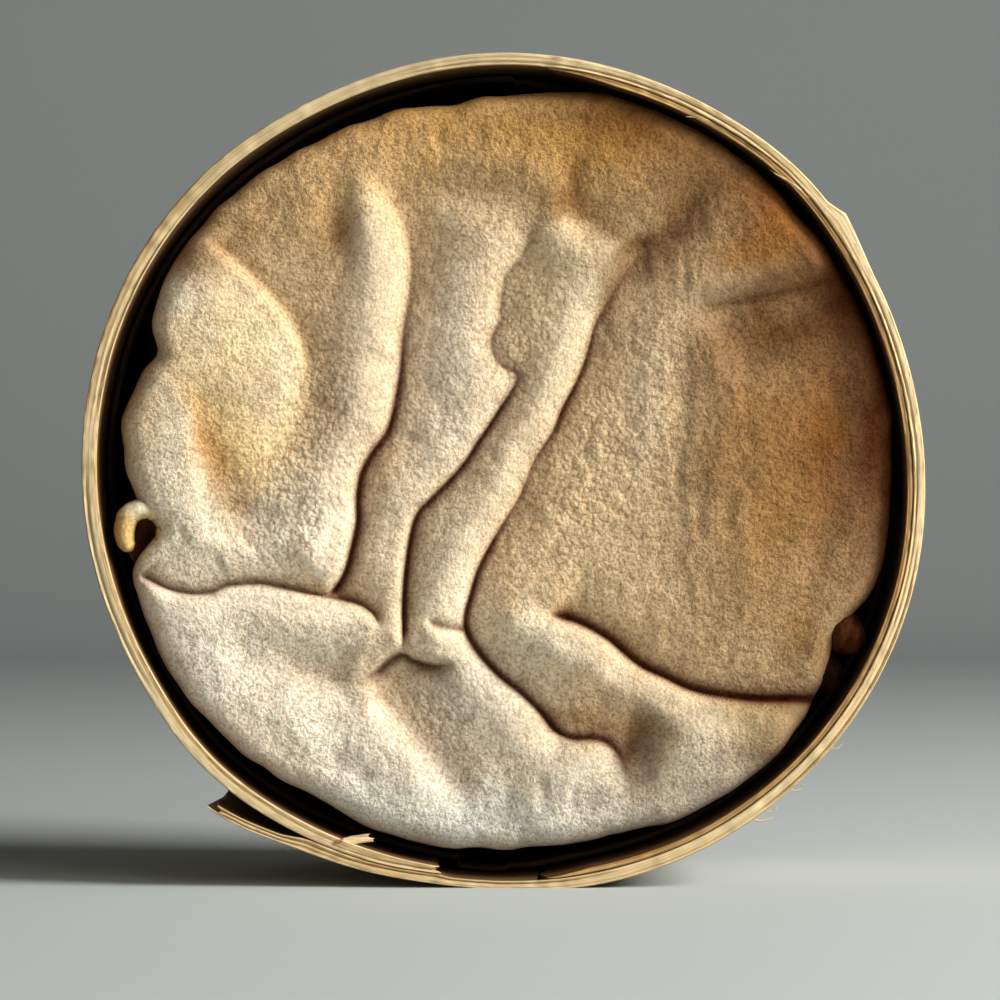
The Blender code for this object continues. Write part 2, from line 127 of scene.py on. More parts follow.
def alongTable(table, at):
    # a smooth curve through (place, value) pairs, level past both ends
    places = np.array([p for p, _ in table], float)
    values = np.array([v for _, v in table], float)
    slopes = np.gradient(values, places)
    at = np.asarray(at, float)
    k = np.clip(np.searchsorted(places, at, side="right") - 1, 0, len(places) - 2)
    span = places[k + 1] - places[k]
    t = np.clip((at - places[k]) / span, 0.0, 1.0)
    return ((2 * t ** 3 - 3 * t ** 2 + 1) * values[k] + (t ** 3 - 2 * t ** 2 + t) * span * slopes[k]
            + (3 * t ** 2 - 2 * t ** 3) * values[k + 1] + (t ** 3 - t ** 2) * span * slopes[k + 1])


def meshPiece(name, verts, faces, made, smooth=True):
    # verts in millimetres from the middle of the face
    verts = np.array(verts, float)
    verts[:, 2] += case["centreHeight"]
    mesh = bpy.data.meshes.new(name)
    mesh.from_pydata((verts * mm).tolist(), [], faces)
    mesh.validate()
    mesh.update()
    piece = bpy.data.objects.new(name, mesh)
    bpy.context.scene.collection.objects.link(piece)
    mesh.materials.append(made)
    if smooth:
        mesh.shade_smooth()
    return piece


def addColour(piece, name, values):
    # values is one linear colour for each point
    layer = piece.data.color_attributes.new(name, "FLOAT_COLOR", "POINT")
    full = np.ones((len(values), 4), np.float32)
    full[:, :3] = values
    layer.data.foreach_set("color", full.ravel())


def addVector(piece, name, values):
    layer = piece.data.attributes.new(name, "FLOAT_VECTOR", "POINT")
    layer.data.foreach_set("vector", np.asarray(values, np.float32).ravel())


def addNumber(piece, name, values):
    # values is one number for each point, or one for all
    layer = piece.data.attributes.new(name, "FLOAT", "POINT")
    layer.data.foreach_set("value", np.full(len(piece.data.vertices), values, np.float32))


def plainColour(count, colour):
    return np.ones((count, 3)) * fromHex(colour)


def ringFaces(size, rings, closed=False):
    # quads between rings of points; closed joins the last ring to the first
    k, s = np.meshgrid(np.arange(size), np.arange(rings if closed else rings - 1), indexing="xy")
    after, following = (k + 1) % size, (s + 1) % rings
    quads = np.stack([s * size + k, s * size + after, following * size + after, following * size + k], -1)
    return quads.reshape(-1, 4).tolist()


class Nodes:
    # a short way to write a node material
    def __init__(self, name):
        self.material = bpy.data.materials.new(name)
        self.material.use_nodes = True
        self.tree = self.material.node_tree
        self.shader = self.tree.nodes["Principled BSDF"]

    def add(self, kind, settings=None):
        node = self.tree.nodes.new(kind)
        for key, value in (settings or {}).items():
            setattr(node, key, value)
        return node

    def feed(self, socket, value):
        if isinstance(value, bpy.types.NodeSocket):
            self.tree.links.new(value, socket)
        else:
            socket.default_value = value

    def attribute(self, name, output="Color"):
        return self.add("ShaderNodeAttribute", {"attribute_name": name}).outputs[output]

    def number(self, operation, *values):
        node = self.add("ShaderNodeMath", {"operation": operation})
        for socket, value in zip(node.inputs, values):
            self.feed(socket, value)
        return node.outputs[0]

    def mixColour(self, share, a, b, blend="MIX"):
        node = self.add("ShaderNodeMix", {"data_type": "RGBA", "blend_type": blend})
        self.feed(node.inputs[0], share)
        self.feed(node.inputs[6], a)
        self.feed(node.inputs[7], b)
        return node.outputs[2]

    def noiseValue(self, vector, scale, detail=2.0, roughness=0.5):
        node = self.add("ShaderNodeTexNoise")
        self.feed(node.inputs["Vector"], vector)
        self.feed(node.inputs["Scale"], scale)
        self.feed(node.inputs["Detail"], detail)
        self.feed(node.inputs["Roughness"], roughness)
        return node.outputs["Fac"]

    def stretched(self, vector, x, y, z):
        node = self.add("ShaderNodeMapping")
        self.feed(node.inputs["Vector"], vector)
        node.inputs["Scale"].default_value = (x, y, z)
        return node.outputs["Vector"]

    def ramp(self, value, stops):
        node = self.add("ShaderNodeValToRGB")
        self.feed(node.inputs["Fac"], value)
        elements = node.color_ramp.elements
        while len(elements) < len(stops):
            elements.new(0.5)
        for element, (place, colour) in zip(elements, stops):
            element.position = place
            element.color = (*colour, 1.0)
        return node.outputs["Color"]

    def bent(self, vector, bending, amount):
        # the vector, pushed aside by the bending
        node = self.add("ShaderNodeVectorMath", {"operation": "MULTIPLY_ADD"})
        self.feed(node.inputs[0], bending)
        node.inputs[1].default_value = amount
        self.feed(node.inputs[2], vector)
        return node.outputs[0]

    def bump(self, height, strength, distance=0.0003):
        node = self.add("ShaderNodeBump")
        self.feed(node.inputs["Height"], height)
        node.inputs["Strength"].default_value = strength
        node.inputs["Distance"].default_value = distance
        return node.outputs["Normal"]

    def surface(self, colour, roughness, specular, normal=None):
        self.feed(self.shader.inputs["Base Color"], colour)
        if normal is not None:
            self.feed(self.shader.inputs["Normal"], normal)
        self.shader.inputs["Roughness"].default_value = roughness
        self.shader.inputs["Specular IOR Level"].default_value = specular
        return self.material


# The camera: level, in front of the face, as far off as a portrait lens stands

view = {
    "place": (-0.0007, -0.665, 0.0552),
    "lens": 162.0,
    "sensor": 36.0,
    "nearest": 0.02,
}


def makeCamera():
    cameraData = bpy.data.cameras.new("camera")
    cameraData.lens = view["lens"]
    cameraData.sensor_width = view["sensor"]
    cameraData.clip_start = view["nearest"]
    camera = bpy.data.objects.new("camera", cameraData)
    camera.location = view["place"]
    camera.rotation_euler = (math.radians(90.0), 0.0, 0.0)
    bpy.context.scene.collection.objects.link(camera)
    bpy.context.scene.camera = camera


makeCamera()
print("camera placed")

# The bent strip of the case. It runs clockwise from its inner end: its outer radius and its
# thickness at so many degrees from that end, where 388 is the free tail

strip = {
    "startAngle": 260.0,
    "length": 390.5,
    "outerRadius": [
        (0, 58.15), (10, 58.9), (20, 59.5), (35, 60.3), (50, 60.0), (80, 60.3), (110, 60.5),
        (125, 60.2), (140, 59.5), (170, 59.5), (200, 59.5), (215, 59.9), (230, 59.5),
        (245, 59.4), (260, 59.8), (275, 60.5), (305, 61.0), (325, 60.8), (340, 60.3),
        (350, 59.7), (360, 59.7), (370, 60.5), (380, 61.7), (388, 63.5), (390.5, 64.0),
    ],
    "thickness": [
        (0, 1.1), (10, 1.65), (20, 1.9), (40, 2.1), (170, 1.8), (215, 1.6), (260, 1.7),
        (320, 1.8), (340, 1.7), (350, 1.3), (360, 1.2), (390.5, 1.25),
    ],
    "tailStart": 372.0,
    "tailLiftAtBack": 1.7,
    "tightFrom": (357.0, 3.0),  # where the outer turn comes to lie on the inner one, and over what span
    "tightTo": (377.0, 5.0),  # where it lets go
    "kinkRun": (200, 260),  # degrees from the inner end between which the kink lies
    "kinkAngle": 37.0,
    "kinkHeight": 1.1,
    "kinkWidthAbove": 3.0,
    "kinkWidthBelow": 9.0,
    "kinkShareAtBack": 0.2,
    "frontInset": 0.28,
    "backInset": 0.2,
    "steps": 1000,
    "rows": 10,
    "edgeRows": 9,
}

veneer = {
    "startAngle": 83.0,
    "endAngle": -84.0,
    "thickness": 0.85,
    "tipThickness": 0.2,
    "upperTip": 9.0,
    "lowerTip": 6.0,
    "frontInset": 0.42,
    "backInset": 3.7,
    "steps": 460,
    "rows": 8,
    "edgeRows": 6,
}


def kinkBulge(degrees):
    # the strip has buckled outwards at the upper right
    away = turnedTo(degrees, strip["kinkAngle"])
    width = np.where(away > 0.0, strip["kinkWidthAbove"], strip["kinkWidthBelow"])
    return strip["kinkHeight"] * np.maximum(0.0, 1.0 - np.abs(away) / width) ** 1.3


def onKink(run):
    low, high = strip["kinkRun"]
    return (run > low) & (run < high)


def stripRadii(run, backShare=0.0):
    # inner and outer radius; backShare is 0 at the front edge and 1 at the back
    run = np.asarray(run, float)
    outer = alongTable(strip["outerRadius"], run)
    degrees = strip["startAngle"] - run
    kinkShare = 1.0 - (1.0 - strip["kinkShareAtBack"]) * backShare
    outer = outer + np.where(onKink(run), kinkBulge(degrees) * kinkShare, 0.0)
    tailShare = np.clip((run - strip["tailStart"]) / (strip["length"] - strip["tailStart"]), 0.0, 1.0)
    outer = outer - strip["tailLiftAtBack"] * tailShare * backShare
    return outer - alongTable(strip["thickness"], run), outer


def innerWall(degrees):
    # the strip's inner side, without its kink, which split layers fill
    run = (strip["startAngle"] - np.asarray(degrees, float)) % 360.0
    wall = stripRadii(run)[0] - kinkBulge(degrees)
    outerLayer = np.where(run < 12.0, stripRadii(run + 360.0)[0], 1e9)
    return np.minimum(wall, outerLayer)


def veneerThickness(degrees):
    # the veneer thins to a point at its upper end and to a feather at its lower end
    turned = turnedTo(degrees, 0.0)
    share = np.minimum((veneer["startAngle"] - turned) / veneer["upperTip"],
                       (turned - veneer["endAngle"]) / veneer["lowerTip"])
    thin = veneer["tipThickness"]
    return thin + (veneer["thickness"] - thin) * np.clip(share, 0.0, 1.0)


def clearRadius(degrees):
    # what the case and its veneer leave free
    turned = turnedTo(degrees, 0.0)
    covered = (turned > veneer["endAngle"] - 3.0) & (turned < veneer["startAngle"] + 3.0)
    return innerWall(degrees) - np.where(covered, case["gap"] + veneerThickness(degrees), 0.0)


everyHalfDegree = np.arange(0.0, 360.0, 0.5)
clearTable = clearRadius(everyHalfDegree)


def clearAt(degrees):
    return np.interp(np.asarray(degrees) % 360.0, everyHalfDegree, clearTable, period=360.0)


def strapOuter(degrees):
    # the strap lies inside all that stands within three degrees of it
    around = [clearAt(np.asarray(degrees) + offset) for offset in (-3.0, -1.5, 0.0, 1.5, 3.0)]
    return np.min(around, axis=0) - case["gap"] - 0.05


# The rind: an uneven disc with folds, swellings and a rolled edge

rind = {
    "recess": 2.6,  # how far the face lies behind the rim of the case
    "edgeRoll": 3.4,
    "grid": 288,
    "softenPasses": 45,
    "sideDepths": (-17.6, -16.2, -14.8, -13.4, -12.0, -9.0, -5.0, 0.0, 6.0),
    "colour": "ddc29b",
    # lips: paler on the raised lips, partly the rind's paler mould, partly painted highlight
    "lips": ("f0e5d0", 0.6),  # colours and how strong they are
    # hollowShade: darker and browner in the hollows, painted shade
    "hollowShade": ("8a5a2c", 0.36),
    # creaseShade: dark red-brown along the creases and wider on their low side, painted shade
    "creaseShade": ("4a1f0c", 0.95),
    "rolledEdge": ("9c6a30", 0.85),
    # edgeShade: dark at the very edge where the face turns into the gap, painted shade
    "edgeShade": ("3a1a0a", 0.6),
    "side": "9a6a3c",
    "back": "c9a777",
    "edgeRadius": [  # every 15 degrees, anticlockwise from +X
        55.6, 56.0, 55.9, 55.8, 56.4, 55.9, 54.0, 53.9, 54.6, 55.7, 55.8, 54.2,
        54.5, 55.1, 56.0, 55.4, 54.2, 54.9, 54.2, 54.5, 56.0, 56.2, 54.6, 55.8,
    ],
    "edgeLocal": [  # angle, change of radius, half width in degrees
        (172.5, 1.3, 4.0), (161.0, -1.8, 2.6), (184.0, -1.6, 3.0), (189.6, -4.2, 3.2), (196.5, 0.6, 2.6),
        (-26.0, -1.8, 4.5), (98.0, -0.8, 3.5), (9.6, 0.9, 1.1),
    ],
}

rindGrain = {  # of the material, scales per metre
    "wobbleScale": 700.0,
    "wobble": 0.0009,
    "pebbleScale": 1250.0,
    "fineScale": 2200.0,
    "tints": [(0.30, (0.70, 0.60, 0.48)), (0.42, (1.0, 1.0, 1.0)), (0.58, (1.18, 1.19, 1.19))],
    "roughness": 0.8,
    "specular": 0.06,
}

# Each fold runs through a few points (x, z). Walking along it, the rounded lip is on the right
# hand. Then come: the lip's height, width and reach, the depth of the crease and its spread on
# the left hand, how far the lip leans over, how dark the crease's painted shade is and how deep
# its narrow slit cuts, how wide the fold is and how soft its crease is at even steps along it, and
# the share of its length over which it fades in and out
folds = {
    "leftLong": (
        [(-20.5, 42.0), (-17.2, 40.0), (-14.8, 36.6), (-13.5, 32.0), (-13.3, 28.5), (-13.7, 24.3),
         (-14.5, 19.7), (-15.0, 14.0), (-16.0, 8.6), (-17.0, 5.4), (-19.2, 2.4), (-20.7, -0.6),
         (-21.2, -4.0), (-21.2, -7.2), (-21.9, -10.7), (-23.0, -14.6), (-24.6, -17.2), (-25.8, -18.2)],
        1.4, 3.8, 6.5, 2.4, 5.0, 0.5, 0.9, (1.3, 1.1, 0.75), (1.6, 1.0, 0.6, 0.3, 0.15, 0.1),
        (0.1, 0.03),
    ),
    "middleLong": (
        [(4.4, 38.6), (3.9, 35.6), (3.4, 33.1), (2.3, 30.3), (0.4, 28.3), (-0.4, 25.8), (-0.6, 23.3),
         (-0.7, 21.3), (-1.9, 19.0), (-1.6, 16.7), (-0.3, 14.9), (1.7, 13.7), (1.1, 11.7), (-0.4, 9.4),
         (-2.1, 6.7), (-3.9, 4.1), (-5.6, 1.4), (-8.0, -1.4), (-10.6, -4.0), (-12.7, -6.4),
         (-13.7, -10.0), (-14.3, -14.3), (-14.6, -18.6), (-14.6, -22.9), (-14.6, -26.2)],
        0.9, 3.0, 5.5, 1.7, 3.4, 0.5, 0.9, (1.2, 1.0, 0.8), (1.3, 0.9, 0.7, 0.45, 0.3, 0.15, 0.05),
        (0.12, 0.05),
    ),
    "rightLong": (
        [(29.6, 44.4), (27.6, 40.6), (23.9, 35.9), (20.0, 31.9), (17.2, 28.0), (15.2, 24.9),
         (13.0, 21.0), (12.2, 18.2), (11.3, 15.2), (9.9, 12.0), (8.4, 9.2), (6.9, 5.6), (5.4, 3.3),
         (4.0, 0.9), (2.3, -3.4), (0.0, -7.2), (-2.1, -10.7), (-3.9, -14.3), (-5.0, -17.9),
         (-5.7, -20.5), (-5.6, -23.2), (-3.6, -26.5), (-0.7, -29.6), (2.1, -31.8), (5.0, -34.6),
         (7.2, -37.2), (9.6, -38.4), (12.4, -38.4), (14.6, -39.0), (16.4, -40.8), (17.4, -43.4),
         (18.0, -46.4)],
        1.2, 3.2, 5.5, 2.3, 5.0, 0.5, 0.9, (1.1, 1.0, 0.8, 1.2, 1.2),
        (2.2, 1.2, 0.6, 0.5, 0.7, 0.35, 0.1, 0.2, 0.8), (0.26, 0.06),
    ),
    "middleShort": (
        [(-11.6, -21.2), (-9.3, -22.3), (-5.9, -23.0)],
        0.5, 1.6, 2.0, 0.9, 1.0, 0.2, 0.5, (1.0, 1.0), (0.2, 0.1), (0.3, 0.1),
    ),
    "lowerLeftAcross": (
        [(-52.8, -14.3), (-50.8, -15.6), (-47.9, -17.0), (-45.1, -17.6), (-42.2, -17.5), (-40.1, -16.6),
         (-37.9, -16.3), (-34.8, -16.2), (-32.2, -16.7), (-29.3, -17.3), (-26.5, -17.9), (-22.9, -18.6),
         (-20.5, -19.3), (-18.7, -20.7), (-17.6, -23.2)],
        1.1, 2.2, 4.5, 1.7, 2.2, 0.4, 0.5, (1.0, 0.9), (0.1, 0.1), (0.05, 0.08),
    ),
    "lowerLeftShort": (
        [(-34.8, -27.5), (-29.3, -28.3), (-25.0, -29.6), (-21.9, -30.2)],
        0.7, 3.0, 4.0, 1.3, 3.2, 0.0, 0.4, (1.0, 1.0), (1.3, 0.7), (0.4, 0.12),
    ),
    "lowerMiddle": (
        [(-5.5, -27.4), (-9.9, -28.0), (-13.0, -27.2), (-14.6, -26.3), (-16.5, -27.2), (-18.6, -29.0),
         (-21.9, -30.3)],
        0.9, 2.4, 2.5, 2.0, 3.2, 0.3, 0.6, (1.0, 0.9), (0.5, 0.1, 0.8), (0.3, 0.25),
    ),
    "lowerRightAcross": (
        [(5.7, -20.2), (7.9, -21.0), (10.0, -21.6), (12.2, -22.6), (15.0, -24.3), (17.9, -26.8),
         (20.0, -28.3), (22.9, -29.6), (26.5, -31.3), (30.8, -32.3), (36.5, -32.9), (42.2, -32.9),
         (47.2, -33.2)],
        1.3, 3.4, 4.0, 2.6, 4.5, 0.5, 1.2, (0.9, 1.1), (0.35, 0.1), (0.07, 0.03),
    ),
    "lowerLeftDown": (
        [(-19.0, -30.6), (-15.0, -35.1), (-10.7, -40.1), (-7.2, -44.8), (-4.0, -49.7)],
        0.9, 2.8, 9.0, 2.2, 8.0, 0.0, 0.15, (1.0, 1.0), (0.5, 1.3), (0.12, 0.3),
    ),
    "bottomShort": (
        [(-2.7, -46.8), (2.1, -43.2), (5.7, -40.8), (9.3, -39.4)],
        0.9, 2.8, 6.0, 1.2, 5.0, 0.0, 0.0, (1.0, 1.0), (1.2, 1.2), (0.35, 0.15),
    ),
    "upperRightShort": (
        [(7.3, 40.4), (9.6, 37.8), (12.4, 34.9), (16.2, 33.2), (20.2, 31.9)],
        0.7, 3.4, 4.0, 1.6, 3.5, 0.0, 0.45, (1.0, 1.0), (1.5, 1.1), (0.25, 0.1),
    ),
    "upperRightAcross": (
        [(49.4, 28.3), (43.9, 26.6), (39.4, 25.5), (33.6, 24.3), (27.9, 22.9), (25.0, 20.0)],
        1.2, 1.8, 9.0, 2.3, 8.0, 0.2, 0.6, (1.0, 1.0), (0.7, 0.9, 1.4), (0.14, 0.3),
    ),
    "upperLeftCurve": (
        [(-44.2, 34.6), (-40.1, 31.5), (-34.8, 26.9), (-30.8, 22.2), (-28.5, 17.2), (-28.3, 12.2),
         (-29.9, 7.2), (-32.8, 2.6), (-34.8, -2.1)],
        0.8, 2.4, 15.0, 1.5, 6.0, 0.1, 0.0, (0.9, 1.1), (0.4, 0.3, 1.8), (0.15, 0.3),
    ),
    "leftCurve": (
        [(-44.2, 17.2), (-44.4, 12.9), (-43.6, 7.2), (-42.2, 1.8), (-40.0, -3.6), (-37.2, -8.4),
         (-34.5, -13.0)],
        0.6, 3.0, 4.0, 1.3, 2.8, 0.0, 0.1, (1.0, 1.0), (1.3, 1.3), (0.3, 0.2),
    ),
    "topAcross": (
        [(-12.2, 39.4), (-7.9, 39.8), (-2.1, 39.2), (2.1, 38.1)],
        0.3, 2.5, 5.0, 0.7, 3.0, 0.0, 0.0, (1.0, 1.0), (1.6, 1.6), (0.3, 0.3),
    ),
}

# Broad swellings and hollows: x, z, half width, half height, turn in degrees, height
swellings = [
    (-48.0, 13.0, 13.0, 17.0, 0, 2.4), (-23.6, 34.5, 2.6, 7.0, 6, -1.2),
    (-27.0, 40.0, 4.0, 5.0, 20, 0.6), (-13.0, -4.8, 0.45, 0.45, 0, -0.5),
    (-13.4, 4.9, 0.8, 0.6, 0, -0.5), (-9.2, 6.5, 0.45, 0.5, 0, -0.35), (15.6, 17.9, 0.5, 0.5, 0, -0.4),
    (-44.5, 23.0, 2.4, 4.0, 35, 0.7), (-48.0, 30.0, 2.6, 3.6, 20, -1.1),
    (-38.4, 25.4, 2.0, 1.8, 0, -0.5), (-48.5, -2.0, 3.5, 10.0, 5, 0.7),
    (-29.0, -23.0, 9.0, 3.2, -5, 1.0), (-38.5, -8.0, 2.2, 6.0, 25, 0.5),
    (-42.0, -26.0, 4.0, 10.0, 30, 0.7), (-32.0, -36.5, 10.0, 3.4, -38, 1.0),
    (-24.0, -41.5, 2.4, 2.0, 0, -0.9), (-10.6, -23.6, 3.0, 2.4, 0, 0.7),
    (4.0, -24.0, 5.0, 3.6, -38, 1.0), (13.5, -44.4, 5.2, 3.4, 0, 0.7),
    (19.4, -40.5, 2.2, 5.5, 5, -1.8), (20.0, -36.6, 3.0, 2.6, 0, -0.6),
    (26.8, -41.0, 4.6, 4.6, 0, 0.9), (-46.2, -1.0, 2.4, 11.0, 8, 0.7),
    (-41.5, -11.0, 2.2, 5.0, 40, 0.5), (-36.5, -41.0, 9.0, 3.0, -41, 1.1),
    (31.0, 2.0, 9.0, 15.0, -8, 0.9), (0.0, 16.6, 2.6, 3.4, 0, 0.5), (33.0, -39.0, 9.0, 3.2, 10, 0.4),
    (-6.5, -35.5, 5.5, 4.5, 30, -1.2), (38.0, 36.0, 6.0, 6.0, 0, 0.5), (-4.5, 43.5, 16.0, 3.4, 0, 0.6),
    (-30.0, -12.0, 8.0, 3.5, 0, 0.9), (26.0, 38.5, 2.8, 6.5, -36, -1.2),
    (-19.8, 38.4, 3.0, 4.5, 15, 0.9), (9.5, 42.0, 1.8, 3.6, -10, -0.6),
    (-20.5, -43.5, 1.6, 1.4, 0, -0.5), (20.7, 10.0, 2.6, 11.0, -4, 0.45),
    (25.4, 3.0, 1.8, 13.0, -4, -0.2), (28.4, -3.0, 1.1, 11.0, -2, -0.18),
    (31.6, -6.0, 1.2, 11.0, -5, -0.16), (34.5, 8.0, 1.6, 9.0, -5, -0.2),
    (12.5, -25.0, 3.4, 2.8, -30, 0.5), (1.4, -21.5, 3.0, 2.8, 0, 0.5),
    (-40.8, -13.4, 0.5, 1.6, 25, -0.35), (-36.2, -10.6, 0.6, 2.6, 35, -0.35),
    (-46.2, -8.6, 0.5, 1.8, 20, -0.3), (26.5, 15.0, 2.0, 5.0, -14, -0.2),
    (47.5, 9.0, 3.0, 7.0, 0, -0.7), (44.0, -14.0, 2.0, 8.0, -14, -0.4),
    (5.5, -46.0, 0.9, 2.2, 5, -0.4), (9.6, -46.4, 0.8, 2.4, -5, -0.4), (0.5, -47.6, 0.9, 2.0, 8, -0.3),
]

